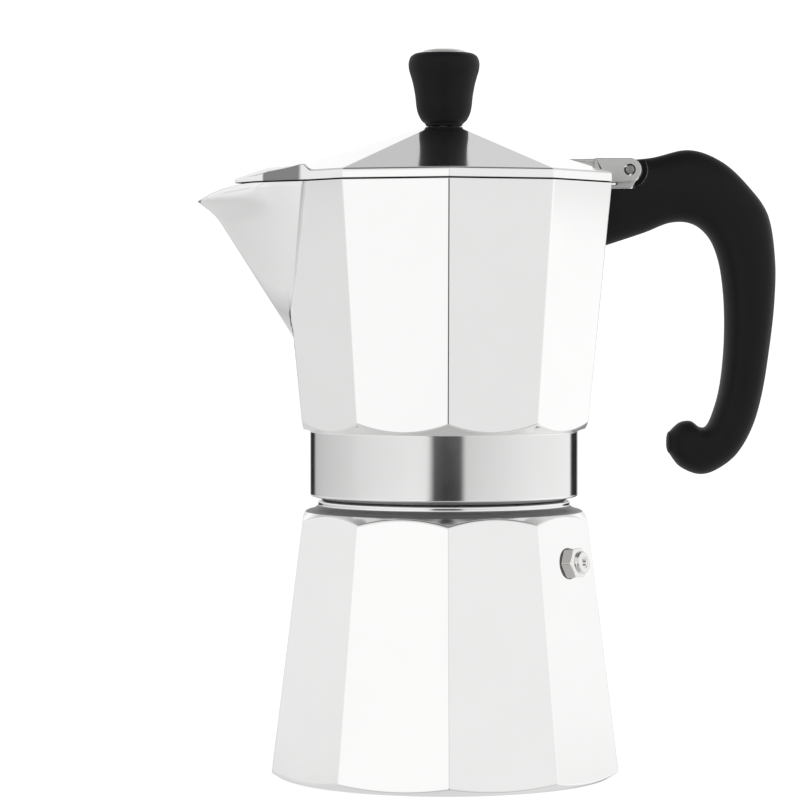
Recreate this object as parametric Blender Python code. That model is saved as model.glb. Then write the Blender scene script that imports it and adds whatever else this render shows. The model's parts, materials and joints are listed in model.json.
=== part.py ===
"""Stovetop moka pot for about six small cups.

The pot stands on the XY plane with its axis on +Z.  The spout points to -X and the handle to +X.
A cast boiler holds the water, a spun funnel hangs in its mouth, and the cast collector screws on
top with a gasket and a filter plate under its floor.  The lid swings on a cross pin at the handle.
"""

import math

import bmesh
import bpy
from mathutils import Matrix, Vector

MM = 0.001
FIT = 0.3 * MM

# Ten flat facets, with an edge facing -Y.
FACETS = 10
STEPS_PER_FACET = 4
SEGMENTS = FACETS * STEPS_PER_FACET
APOTHEM = math.cos(math.pi / FACETS)

# Boiler: corner radii of the facets, and the turned ends that cut across them.
BOILER_FOOT_Z = 2.5 * MM
BOILER_FOOT_R = 53.0 * MM
BOILER_TOP_Z = 75.3 * MM
BOILER_TOP_R = 43.7 * MM
BOILER_DISC_R = 48.9 * MM
BOILER_FLOOR_Z = 3.5 * MM
BOILER_WALL = 3.2 * MM
NECK_RING_R = 35.1 * MM
NECK_ROOT_R = 33.6 * MM
NECK_CREST_R = 34.5 * MM
NECK_TOP_Z = 93.0 * MM
MOUTH_R = 30.8 * MM

# Screw thread between the boiler and the collector.
THREAD_PITCH = 3.0 * MM
THREAD_LOW_Z = 84.0 * MM
BOILER_THREAD_TURNS = 1.5
COLLAR_THREAD_LOW_Z = 86.0 * MM
COLLAR_THREAD_TURNS = 2.0
THREAD_RINGS_PER_TURN = 4

# Collector: collar band, facets, floor and column.
COLLAR_LOW_Z = 82.0 * MM
COLLAR_R = 39.4 * MM
COLLAR_TOP_Z = 100.0 * MM
COLLAR_ROOT_R = 35.9 * MM
COLLAR_CREST_R = 34.9 * MM
FLOOR_UNDER_Z = 98.7 * MM
FLOOR_TOP_Z = 102.0 * MM
COLLECTOR_FOOT_Z = 104.2 * MM
COLLECTOR_FOOT_R = 43.8 * MM
RIM_Z = 173.6 * MM
RIM_R = 50.7 * MM
COLLECTOR_WALL = 2.8 * MM
COLUMN_HOLE_R = 6.0 * MM
COLUMN_TOP_Z = 152.0 * MM

# Spout: a V whose keel rises in a straight line and curls out at the lip.  Its sides meet the
# facets along a seam that turns away from the keel as it rises.
KEEL_LOW_X = 46.0 * MM
KEEL_LOW_Z = 131.5 * MM
KEEL_RISE = 0.637
CURL_Z = 164.0 * MM
CURL_OUT = 3.0 * MM
LIP_X = 72.9 * MM
LIP_Z = 168.6 * MM
LIP_START_X = 54.0 * MM
SPOUT_SIDE = 1.2325
SEAM_LOW_ANGLE = math.radians(17.0)
SEAM_TURN = math.radians(0.373) / MM

# Lid and its hinge.
LID_LOW_Z = 174.0 * MM
LID_BAND_Z = 176.6 * MM
LID_TOP_Z = 190.4 * MM
LID_TOP_R = 6.0 * MM
LID_WALL = 1.8 * MM
BEAK_TIP_X = 61.7 * MM
BEAK_NOSE_SIDE = 0.516
BEAK_ROOT_X = 39.5 * MM
BEAK_ROOT_Z = 179.4 * MM
BEAK_BROW_X = 51.6 * MM
BEAK_BROW_Z = 178.6 * MM
BEAK_TIP_Z = 175.2 * MM
BEAK_SLOPE = 0.09
HINGE_X = 54.2 * MM
HINGE_Z = 177.8 * MM
EYE_R = 3.4 * MM
PIN_R = 1.3 * MM
PIN_HALF = 6.7 * MM
EAR_INNER_Y = 3.6 * MM
EAR_OUTER_Y = 6.2 * MM

# Knob and handle fixings.
SCREW_R = 2.0 * MM
KNOB_LOW_Z = LID_TOP_Z + FIT
LUG_END_X = 61.0 * MM
LUG_HALF_Y = 4.0 * MM
LUG_LOW_Z = 164.0 * MM
LUG_TOP_Z = 170.0 * MM
HANDLE_SCREW_X = 56.0 * MM
HANDLE_SCREW_R = 1.5 * MM
HANDLE_SCREW_HEAD_R = 2.7 * MM

# Safety valve, centred on the facet 54 degrees from the front edge towards the handle.
VALVE_ANGLE = math.radians(-90 + 54)
VALVE_Z = 63.8 * MM
VALVE_HEX_R = 4.8 * MM
VALVE_STEM_R = 3.2 * MM
VALVE_BORE_R = 2.1 * MM

# Funnel, gasket and plates.
FUNNEL_RIM_R = 33.0 * MM
FUNNEL_CUP_R = 30.2 * MM
FUNNEL_SHEET = 0.9 * MM
FUNNEL_CUP_LOW_Z = 71.0 * MM
FUNNEL_STEM_R = 5.6 * MM
FUNNEL_STEM_LOW_Z = 11.0 * MM
PLATE_HOLE_R = 0.8 * MM
GASKET_INNER_R = 27.6 * MM
GASKET_OUTER_R = 33.0 * MM


# ---------------------------------------------------------------- helpers

def finish(name, colour, roughness, metallic):
    """A plain Principled material in the piece's own colour."""
    material = bpy.data.materials.new(name)
    material.use_nodes = True
    shader = material.node_tree.nodes["Principled BSDF"]
    shader.inputs["Base Color"].default_value = (*colour, 1.0)
    shader.inputs["Roughness"].default_value = roughness
    shader.inputs["Metallic"].default_value = metallic
    return material


def polished(name):
    return finish(name, (0.86, 0.86, 0.85), 0.18, 1.0)


def spun(name):
    return finish(name, (0.78, 0.78, 0.77), 0.35, 1.0)


def steel(name):
    return finish(name, (0.66, 0.65, 0.62), 0.25, 1.0)


def moulded(name):
    return finish(name, (0.02, 0.02, 0.022), 0.45, 0.0)


def add_piece(name, bm, material, origin=(0, 0, 0)):
    """Close a bmesh into a named object whose origin lies at the given point."""
    bmesh.ops.remove_doubles(bm, verts=bm.verts, dist=1e-7)
    bmesh.ops.recalc_face_normals(bm, faces=bm.faces)
    mesh = bpy.data.meshes.new(name)
    bm.to_mesh(mesh)
    bm.free()
    mesh.transform(Matrix.Translation(-Vector(origin)))
    mesh.shade_smooth()
    mesh.set_sharp_from_angle(angle=math.radians(25))
    piece = bpy.data.objects.new(name, mesh)
    piece.location = origin
    bpy.context.scene.collection.objects.link(piece)
    if material:
        mesh.materials.append(material)
    return piece


def loft(rings, loop=False):
    """Skin a stack of equal rings; a loop also joins the last ring to the first."""
    bm = bmesh.new()
    rows = [[bm.verts.new(point) for point in ring] for ring in rings]
    pairs = list(zip(rows, rows[1:]))
    if loop:
        pairs.append((rows[-1], rows[0]))
    else:
        bm.faces.new(list(reversed(rows[0])))
        bm.faces.new(rows[-1])
    for low, high in pairs:
        for i in range(len(low)):
            j = (i + 1) % len(low)
            bm.faces.new((low[i], low[j], high[j], high[i]))
    return bm


def turned(profile, segments=SEGMENTS, closed=False):
    """Spin a radius-height profile about Z; a closed profile makes a ring."""
    bm = bmesh.new()
    points = [bm.verts.new((r, 0, z)) for r, z in profile]
    ends = list(zip(points, points[1:]))
    if closed:
        ends.append((points[-1], points[0]))
    edges = [bm.edges.new(pair) for pair in ends]
    bmesh.ops.spin(bm, geom=points + edges, axis=(0, 0, 1), cent=(0, 0, 0),
                   steps=segments, angle=math.tau, use_duplicate=False)
    bmesh.ops.remove_doubles(bm, verts=bm.verts, dist=1e-7)
    return bm


def slab(outline, low_y, high_y):
    """Extrude an outline of XZ points along Y."""
    bm = bmesh.new()
    face = bm.faces.new([bm.verts.new((x, low_y, z)) for x, z in outline])
    grown = bmesh.ops.extrude_face_region(bm, geom=[face])
    moved = [v for v in grown["geom"] if isinstance(v, bmesh.types.BMVert)]
    bmesh.ops.translate(bm, verts=moved, vec=(0, high_y - low_y, 0))
    return bm


def box(low, high):
    """A box between two corners."""
    bm = bmesh.new()
    size = [b - a for a, b in zip(low, high)]
    middle = [(a + b) / 2 for a, b in zip(low, high)]
    place = Matrix.Translation(middle) @ Matrix.Diagonal((*size, 1))
    bmesh.ops.create_cube(bm, size=1, matrix=place)
    return bm


def rod(radius, start, end, sides=20):
    """A straight round bar between two points."""
    bm = bmesh.new()
    start, end = Vector(start), Vector(end)
    turn = (end - start).to_track_quat("Z", "Y").to_matrix().to_4x4()
    place = Matrix.Translation((start + end) / 2) @ turn
    bmesh.ops.create_cone(bm, cap_ends=True, segments=sides, radius1=radius, radius2=radius,
                          depth=(end - start).length, matrix=place)
    return bm


def shape_with(piece, bm, operation, name):
    """Cut a helper shape from a piece, or join it on, with a Boolean modifier."""
    helper = add_piece(name, bm, None)
    helper.hide_render = True
    helper.display_type = "WIRE"
    modifier = piece.modifiers.new(name, "BOOLEAN")
    modifier.operation = operation
    modifier.solver = "EXACT"
    modifier.object = helper
    return helper


def arc(centre_x, centre_z, radius, start, stop, steps):
    """Points along a circular arc in the XZ plane, angles in degrees from +X."""
    turns = [math.radians(start + (stop - start) * i / steps) for i in range(steps + 1)]
    return [(centre_x + radius * math.cos(a), centre_z + radius * math.sin(a)) for a in turns]


def mix(a, b, t):
    return a + (b - a) * t


def angle_of(step):
    return math.radians(-90 + 360 * step / SEGMENTS)


def facet_factor(angle):
    """Distance to a flat-sided decagon's side, as a share of its corner radius."""
    half = math.pi / FACETS
    offset = (angle + math.pi / 2) % (2 * half) - half
    return math.cos(half) / math.cos(offset)


def ring(radius_at, z):
    """One ring of points whose radius may change with the angle."""
    points = []
    for step in range(SEGMENTS):
        angle = angle_of(step)
        radius = radius_at(angle)
        points.append((radius * math.cos(angle), radius * math.sin(angle), z))
    return points


def thread_rings(root, crest, z_low, turns, shift=0.0):
    """Rings of a helical ridge that fades in and out over half a turn at its ends."""
    count = int(turns * THREAD_RINGS_PER_TURN) + THREAD_RINGS_PER_TURN
    spacing = THREAD_PITCH / THREAD_RINGS_PER_TURN
    rings = []
    for i in range(count + 1):
        fade = min(1.0, i / 2, (count - i) / 2)
        z = z_low + i * spacing

        def radius_at(angle, z=z, fade=fade):
            phase = ((z - z_low) / THREAD_PITCH - angle / math.tau + shift) % 1.0
            ridge = 1 - abs(2 * phase - 1)
            return root + (crest - root) * ridge * fade
        rings.append(ring(radius_at, z))
    return rings


# ---------------------------------------------------------------- boiler and its valve

def boiler_corner(z):
    """Corner radius of the boiler's facets at a height."""
    return mix(BOILER_FOOT_R, BOILER_TOP_R,
               (z - BOILER_FOOT_Z) / (BOILER_TOP_Z - BOILER_FOOT_Z))


def make_boiler():
    """Cast pot: flat foot, ten tapering facets, turned shoulder, threaded neck."""
    turned_end = [
        (BOILER_DISC_R, 0.0), (50.5 * MM, 1.0 * MM), (51.8 * MM, 1.7 * MM),
        (BOILER_FOOT_R, BOILER_FOOT_Z), (BOILER_TOP_R, BOILER_TOP_Z),
        (42.7 * MM, 76.3 * MM), (41.4 * MM, 77.2 * MM), (39.2 * MM, 78.0 * MM),
        (36.8 * MM, 78.4 * MM), (35.4 * MM, 79.2 * MM), (NECK_RING_R, 80.2 * MM),
        (NECK_RING_R, 83.0 * MM), (NECK_ROOT_R, 83.6 * MM),
    ]
    rings = []
    for radius, z in turned_end:
        def radius_at(angle, radius=radius, z=z):
            return min(radius, boiler_corner(z) * facet_factor(angle))
        rings.append(ring(radius_at, z))
    rings += thread_rings(NECK_ROOT_R, NECK_CREST_R, THREAD_LOW_Z, BOILER_THREAD_TURNS)
    inside = [
        (NECK_ROOT_R, NECK_TOP_Z - 0.6 * MM), (NECK_ROOT_R - 0.6 * MM, NECK_TOP_Z),
        (MOUTH_R, NECK_TOP_Z), (MOUTH_R, 78.0 * MM), (33.0 * MM, 75.2 * MM),
        (boiler_corner(72 * MM) * APOTHEM - BOILER_WALL, 72.0 * MM),
        (boiler_corner(8 * MM) * APOTHEM - BOILER_WALL, 8.0 * MM),
        (44.5 * MM, 4.6 * MM), (41.0 * MM, BOILER_FLOOR_Z),
    ]
    for radius, z in inside:
        rings.append(ring(lambda angle, radius=radius: radius, z))
    boiler = add_piece("boiler", loft(rings), polished("boiler aluminium"))
    place, turn = valve_place()
    axis = turn @ Vector((0, 0, 1))
    hole = rod(VALVE_STEM_R + FIT, place - axis * 8 * MM, place + axis * 4 * MM)
    shape_with(boiler, hole, "DIFFERENCE", "cut_valve_hole")
    return boiler


def valve_place():
    """Where the valve's axis meets its facet, and the turn that lays Z along that axis."""
    apothem = boiler_corner(VALVE_Z) * APOTHEM
    out = Vector((math.cos(VALVE_ANGLE), math.sin(VALVE_ANGLE), 0))
    taper = (BOILER_FOOT_R - BOILER_TOP_R) / (BOILER_TOP_Z - BOILER_FOOT_Z)
    axis = (out + Vector((0, 0, taper * APOTHEM))).normalized()
    return out * apothem + Vector((0, 0, VALVE_Z)), axis.to_track_quat("Z", "Y")


def put_on_valve(piece):
    place, turn = valve_place()
    piece.location = place
    piece.rotation_mode = "QUATERNION"
    piece.rotation_quaternion = turn


def hex_nut_body():
    """Valve housing: hexagon outside, threaded stem inside, stepped bore."""
    rings = []
    outline = [
        (VALVE_STEM_R - 0.4 * MM, -9.0 * MM, False), (VALVE_STEM_R, -8.6 * MM, False),
        (VALVE_STEM_R, 0.9 * MM, False), (VALVE_HEX_R * 0.9, 0.9 * MM, False),
        (VALVE_HEX_R, 1.2 * MM, True), (VALVE_HEX_R, 3.8 * MM, True),
        (VALVE_HEX_R * 0.86, 4.1 * MM, False), (VALVE_BORE_R, 4.1 * MM, False),
        (VALVE_BORE_R, -8.1 * MM, False), (1.0 * MM, -8.1 * MM, False),
        (1.0 * MM, -9.0 * MM, False),
    ]
    for radius, z, is_hex in outline:
        points = []
        for i in range(24):
            angle = math.tau * i / 24
            flat = math.cos(math.pi / 6) / math.cos(angle % (math.pi / 3) - math.pi / 6)
            reach = radius * flat if is_hex else radius
            points.append((reach * math.cos(angle), reach * math.sin(angle), z))
        rings.append(points)
    return loft(rings, loop=True)


def make_spring():
    """Compression spring between the plunger's head and the valve's cap."""
    coil_r, wire_r, turns, low, high = 1.45 * MM, 0.2 * MM, 6, -5.0 * MM, 2.8 * MM
    steps = turns * 8
    rings = []
    for i in range(steps + 1):
        turn = math.tau * turns * i / steps
        out = Vector((math.cos(turn), math.sin(turn), 0))
        centre = out * coil_r + Vector((0, 0, mix(low, high, i / steps)))
        around = [math.tau * k / 5 for k in range(5)]
        rings.append([centre + wire_r * (out * math.cos(a) + Vector((0, 0, math.sin(a))))
                      for a in around])
    return loft(rings)


def make_valve():
    """Safety valve: washer, housing, sprung plunger with a soft face, and the cap."""
    washer = turned([(3.55 * MM, 0.25 * MM), (4.5 * MM, 0.25 * MM), (4.5 * MM, 0.65 * MM),
                     (3.55 * MM, 0.65 * MM)], 24, closed=True)
    cap = turned([(1.1 * MM, 3.2 * MM), (1.75 * MM, 3.2 * MM), (1.75 * MM, 4.4 * MM),
                  (3.4 * MM, 4.4 * MM), (3.4 * MM, 5.4 * MM), (2.9 * MM, 5.9 * MM),
                  (1.1 * MM, 5.9 * MM)], 24, closed=True)
    plunger = turned([(0, -6.9 * MM), (1.65 * MM, -6.9 * MM), (1.65 * MM, -5.6 * MM),
                      (0.7 * MM, -5.6 * MM), (0.7 * MM, 4.9 * MM), (0, 4.9 * MM)], 16)
    seal = turned([(0, -7.8 * MM), (1.65 * MM, -7.8 * MM), (1.65 * MM, -7.2 * MM),
                   (0, -7.2 * MM)], 16)
    put_on_valve(add_piece("valve_washer", washer, finish("valve fibre", (0.5, 0.2, 0.1), 0.7, 0)))
    put_on_valve(add_piece("valve_body", hex_nut_body(), steel("valve nickel")))
    put_on_valve(add_piece("valve_cap", cap, steel("valve cap nickel")))
    put_on_valve(add_piece("valve_plunger", plunger, steel("plunger steel")))
    put_on_valve(add_piece("valve_seal", seal, finish("seal silicone", (0.7, 0.2, 0.12), 0.6, 0)))
    put_on_valve(add_piece("valve_spring", make_spring(), steel("spring steel")))


# ---------------------------------------------------------------- funnel, gasket and plates

def hole_rings(counts, spacing, low_z, high_z):
    """Small round cutters on concentric circles."""
    bm = bmesh.new()
    for level, count in enumerate(counts):
        for i in range(count):
            angle = math.tau * i / count + 0.1 * level
            spot = (level * spacing * math.cos(angle), level * spacing * math.sin(angle),
                    (low_z + high_z) / 2)
            bmesh.ops.create_cone(bm, cap_ends=True, segments=6, radius1=PLATE_HOLE_R,
                                  radius2=PLATE_HOLE_R, depth=high_z - low_z,
                                  matrix=Matrix.Translation(spot))
    return bm


def make_funnel():
    """Spun basket with a curled rim and a long stem, and the perforated plate inside it."""
    rim_low = NECK_TOP_Z + FIT
    cup_in = FUNNEL_CUP_R - FUNNEL_SHEET
    stem_in = FUNNEL_STEM_R - FUNNEL_SHEET
    profile = [
        (FUNNEL_STEM_R, FUNNEL_STEM_LOW_Z), (FUNNEL_STEM_R, 61.5 * MM),
        (12.0 * MM, 66.5 * MM), (28.6 * MM, FUNNEL_CUP_LOW_Z - 0.6 * MM),
        (FUNNEL_CUP_R, FUNNEL_CUP_LOW_Z + 1.0 * MM), (FUNNEL_CUP_R, rim_low),
        (FUNNEL_RIM_R, rim_low), (FUNNEL_RIM_R, rim_low + 1.0 * MM),
        (cup_in + 0.4 * MM, rim_low + 1.0 * MM), (cup_in, rim_low + 0.6 * MM),
        (cup_in, FUNNEL_CUP_LOW_Z + 1.4 * MM), (27.8 * MM, FUNNEL_CUP_LOW_Z + 0.4 * MM),
        (11.4 * MM, 67.4 * MM), (stem_in, 62.0 * MM), (stem_in, FUNNEL_STEM_LOW_Z),
    ]
    add_piece("funnel", turned(profile, 30, closed=True), spun("funnel aluminium"))
    low = FUNNEL_CUP_LOW_Z + 1.8 * MM
    disc = turned([(0, low), (28.6 * MM, low), (28.6 * MM, low + 0.8 * MM),
                   (0, low + 0.8 * MM)])
    plate = add_piece("funnel_plate", disc, spun("funnel plate aluminium"))
    shape_with(plate, hole_rings([1, 6, 12], 9.0 * MM, low - MM, low + 2 * MM),
               "DIFFERENCE", "cut_funnel_plate_holes")


def make_seal_stack():
    """Gasket on the funnel's rim, and the filter plate inside it under the collector."""
    low = NECK_TOP_Z + 1.6 * MM
    high = FLOOR_UNDER_Z - FIT
    ring_shape = [(GASKET_INNER_R, low), (GASKET_OUTER_R, low), (GASKET_OUTER_R, high),
                  (GASKET_INNER_R, high)]
    add_piece("gasket", turned(ring_shape, closed=True),
              finish("gasket silicone", (0.86, 0.86, 0.83), 0.6, 0.0))
    face = 96.6 * MM
    edge = GASKET_INNER_R - 0.4 * MM
    dish = [(0, face), (24.0 * MM, face), (25.6 * MM, high - 0.8 * MM),
            (edge, high - 0.8 * MM), (edge, high), (25.2 * MM, high),
            (23.6 * MM, face + 0.8 * MM), (0, face + 0.8 * MM)]
    plate = add_piece("filter_plate", turned(dish), spun("filter plate aluminium"))
    shape_with(plate, hole_rings([1, 6, 12], 8.5 * MM, face - MM, face + 2 * MM),
               "DIFFERENCE", "cut_filter_plate_holes")


# ---------------------------------------------------------------- collector

def collector_corner(z):
    """Corner radius of the collector's facets at a height."""
    return mix(COLLECTOR_FOOT_R, RIM_R, (z - COLLECTOR_FOOT_Z) / (RIM_Z - COLLECTOR_FOOT_Z))


def spout_radius(angle, z):
    """Radius of the V spout: two sides from the keel line to the seams, curled out at the lip."""
    side = abs(math.pi - abs((angle + math.tau) % math.tau))
    seam = SEAM_LOW_ANGLE + (z - KEEL_LOW_Z) * SEAM_TURN
    keel = KEEL_LOW_X + (z - KEEL_LOW_Z) * KEEL_RISE
    if side > seam or z < KEEL_LOW_Z:
        return 0.0
    reach = collector_corner(z) * facet_factor(math.pi + seam)
    slope = (keel - reach * math.cos(seam)) / (reach * math.sin(seam))
    curl = max(0.0, min(z - CURL_Z, 4.4 * MM)) / (4.4 * MM)
    keel += CURL_OUT * curl * max(0.0, 1 - side / math.radians(20))
    return min(keel, LIP_X) / (math.cos(side) + slope * math.sin(side))


def lip_drop(x):
    """Height of the rim along the spout: level, then falling to the lip."""
    if -x < LIP_START_X:
        return RIM_Z
    t = min(1.0, (-x - LIP_START_X) / (LIP_X - LIP_START_X))
    return mix(RIM_Z, LIP_Z, t ** 2.2)


def collector_ring(z, inset, limit=None):
    """A ring on the facets and the spout, moved inwards by a wall's thickness."""
    def radius_at(angle):
        body = collector_corner(z) * facet_factor(angle)
        if limit:
            body = min(body, limit)
        return max(body - inset, spout_radius(angle, z) - inset * 0.9)
    return ring(radius_at, z)


def cut_to_lip(points):
    return [(x, y, min(z, lip_drop(x))) for x, y, z in points]


def hinge_bore():
    """Cutter for the hinge pin's clearance hole."""
    reach = PIN_HALF + 3 * MM
    return rod(PIN_R + FIT, (HINGE_X, -reach, HINGE_Z), (HINGE_X, reach, HINGE_Z))


def make_collector():
    """Cast jug: collar with a female thread, floor, ten facets, V spout and two lugs."""
    rings = [ring(lambda a: COLUMN_HOLE_R, FLOOR_UNDER_Z)]
    rings.append(ring(lambda a: COLLAR_ROOT_R, FLOOR_UNDER_Z))
    rings += reversed(thread_rings(COLLAR_ROOT_R, COLLAR_CREST_R, COLLAR_THREAD_LOW_Z,
                                   COLLAR_THREAD_TURNS, 0.5))
    rings.append(ring(lambda a: COLLAR_ROOT_R, COLLAR_LOW_Z + 0.4 * MM))
    rings.append(ring(lambda a: COLLAR_ROOT_R + 0.4 * MM, COLLAR_LOW_Z))
    rings.append(ring(lambda a: COLLAR_R - 0.4 * MM, COLLAR_LOW_Z))
    rings.append(ring(lambda a: COLLAR_R, COLLAR_LOW_Z + 0.4 * MM))
    rings.append(ring(lambda a: COLLAR_R, COLLAR_TOP_Z))
    for radius, z in [(40.2, 100.7), (41.4, 101.8), (42.6, 102.4), (43.7, 102.9)]:
        rings.append(collector_ring(z * MM, 0.0, radius * MM))
    for z in (131.5, 137, 143, 150, 157, 164, 166, 168):
        rings.append(collector_ring(z * MM, 0.0))
    rings.append(cut_to_lip(collector_ring(RIM_Z, 0.0)))
    rings.append(cut_to_lip(collector_ring(RIM_Z, COLLECTOR_WALL * 0.75)))
    for z in (168, 164, 158, 150, 140, 128, 110):
        rings.append(collector_ring(z * MM, COLLECTOR_WALL))
    rings.append(ring(lambda a: 38.0 * MM, 104.0 * MM))
    rings.append(ring(lambda a: 35.5 * MM, FLOOR_TOP_Z))
    rings.append(ring(lambda a: COLUMN_HOLE_R, FLOOR_TOP_Z))
    collector = add_piece("collector", loft(rings, loop=True), polished("collector aluminium"))

    eye = [(46.9 * MM, 172.6 * MM), (55.0 * MM, 172.6 * MM)]
    eye += arc(HINGE_X, HINGE_Z, EYE_R, -40, 170, 14)
    eye += [(50.6 * MM, RIM_Z), (46.9 * MM, RIM_Z - 0.1 * MM)]
    shape_with(collector, slab(eye, FIT - EAR_INNER_Y, EAR_INNER_Y - FIT), "UNION",
               "join_hinge_eye")
    lug = box((46.2 * MM, -LUG_HALF_Y, LUG_LOW_Z), (LUG_END_X, LUG_HALF_Y, LUG_TOP_Z))
    shape_with(collector, lug, "UNION", "join_handle_lug")
    pin_hole = hinge_bore()
    shape_with(collector, pin_hole, "DIFFERENCE", "cut_eye_hole")
    screw_hole = rod(HANDLE_SCREW_R + FIT, (HANDLE_SCREW_X, 0, LUG_LOW_Z - MM),
                     (HANDLE_SCREW_X, 0, LUG_TOP_Z - MM))
    shape_with(collector, screw_hole, "DIFFERENCE", "cut_lug_hole")


def make_column():
    """Tube pressed into the collector's floor, closed on top with two side outlets."""
    bore_r = 4.2 * MM
    profile = [(0, COLUMN_TOP_Z), (3.0 * MM, COLUMN_TOP_Z),
               (5.0 * MM, COLUMN_TOP_Z - 0.6 * MM), (6.2 * MM, COLUMN_TOP_Z - 3 * MM),
               (8.6 * MM, 108 * MM), (9.5 * MM, FLOOR_TOP_Z + FIT),
               (COLUMN_HOLE_R - FIT, FLOOR_TOP_Z + FIT),
               (COLUMN_HOLE_R - FIT, FLOOR_UNDER_Z - 0.2 * MM),
               (bore_r, FLOOR_UNDER_Z - 0.2 * MM), (3.4 * MM, COLUMN_TOP_Z - 4 * MM),
               (0, COLUMN_TOP_Z - 2.5 * MM)]
    column = add_piece("column", turned(profile, 24), spun("column aluminium"))
    slot_low = COLUMN_TOP_Z - 11 * MM
    slot_high = COLUMN_TOP_Z - 5 * MM
    slot = box((-1.6 * MM, -9 * MM, slot_low), (1.6 * MM, 9 * MM, slot_high))
    shape_with(column, slot, "DIFFERENCE", "cut_column_slots")


# ---------------------------------------------------------------- lid, knob and hinge

def lid_outline(angle):
    """Plan radius of the lid: the ten facets, drawn out to a V over the spout."""
    side = math.pi - abs((angle + math.tau) % math.tau)
    body = RIM_R * facet_factor(angle)
    if abs(side) > math.radians(60):
        return body
    across, along = abs(math.sin(side)), math.cos(side)
    beak = min(LIP_X / (along + SPOUT_SIDE * across), BEAK_TIP_X / (along + BEAK_NOSE_SIDE * across))
    return max(body, beak)


def lid_height(angle, radius):
    """Top surface: a ten-sided pyramid, and the ridged cover that runs out over the spout."""
    x, y = radius * math.cos(angle), radius * math.sin(angle)
    across = radius / facet_factor(angle) * APOTHEM
    rim = RIM_R * APOTHEM
    slope = (LID_TOP_Z - LID_BAND_Z) / (rim - LID_TOP_R)
    pyramid = min(LID_TOP_Z, LID_BAND_Z + (rim - across) * slope)
    if -x < BEAK_ROOT_X:
        return pyramid
    if -x < BEAK_BROW_X:
        ridge = mix(BEAK_ROOT_Z, BEAK_BROW_Z, (-x - BEAK_ROOT_X) / (BEAK_BROW_X - BEAK_ROOT_X))
    else:
        ridge = mix(BEAK_BROW_Z, BEAK_TIP_Z, (-x - BEAK_BROW_X) / (BEAK_TIP_X - BEAK_BROW_X))
    return max(pyramid, ridge - BEAK_SLOPE * abs(y))


def lid_ring(share, drop):
    """A ring on the lid at a share of its outline, lowered by a wall's thickness."""
    points = []
    for step in range(SEGMENTS):
        angle = angle_of(step)
        radius = share * lid_outline(angle)
        z = max(lid_height(angle, radius) - drop, LID_LOW_Z + 0.6 * MM)
        points.append((radius * math.cos(angle), radius * math.sin(angle), z))
    return points


def lid_edge(inset, z):
    return ring(lambda angle: lid_outline(angle) - inset, z)


def make_lid():
    """Cast lid with a straight band, a spout cover and two hinge ears."""
    hole = SCREW_R + FIT
    rings = [ring(lambda a: hole, LID_TOP_Z), ring(lambda a: LID_TOP_R, LID_TOP_Z)]
    rings += [lid_ring(share, 0.0) for share in (0.35, 0.6, 0.75, 0.85, 0.93)]
    rings.append(lid_ring(0.992, 0.0))
    rings.append(lid_edge(0.0, LID_BAND_Z - 0.9 * MM))
    rings.append(lid_edge(0.0, LID_LOW_Z))
    rings.append(lid_edge(LID_WALL, LID_LOW_Z))
    rings += [lid_ring(share, LID_WALL) for share in (0.93, 0.85, 0.75, 0.6, 0.35)]
    rings.append(ring(lambda a: LID_TOP_R, LID_TOP_Z - LID_WALL))
    rings.append(ring(lambda a: hole, LID_TOP_Z - LID_WALL))
    origin = (HINGE_X, 0, HINGE_Z)
    lid = add_piece("lid", loft(rings, loop=True), polished("lid aluminium"), origin)
    tongue = [(36.0 * MM, 181.0 * MM), (36.0 * MM, 179.6 * MM), (47.0 * MM, 175.7 * MM),
              (49.6 * MM, 175.7 * MM), (49.6 * MM, 181.1 * MM)]
    shape_with(lid, slab(tongue, -4.4 * MM, 4.4 * MM), "UNION", "join_tongue")
    ear = [(47.0 * MM, LID_LOW_Z + 0.1 * MM), (51.6 * MM, LID_LOW_Z + 0.2 * MM)]
    ear += arc(HINGE_X, HINGE_Z, EYE_R, -100, 90, 14)
    ear += [(44.0 * MM, HINGE_Z + EYE_R), (44.0 * MM, 177.3 * MM), (47.0 * MM, 176.0 * MM)]
    for side, name in ((-1, "join_front_ear"), (1, "join_back_ear")):
        faces = sorted((side * EAR_INNER_Y, side * EAR_OUTER_Y))
        shape_with(lid, slab(ear, *faces), "UNION", name)
    pin_hole = hinge_bore()
    shape_with(lid, pin_hole, "DIFFERENCE", "cut_ear_holes")
    pin = rod(PIN_R, (HINGE_X, -PIN_HALF, HINGE_Z), (HINGE_X, PIN_HALF, HINGE_Z))
    add_piece("hinge_pin", pin, steel("hinge pin steel"), origin)


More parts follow.
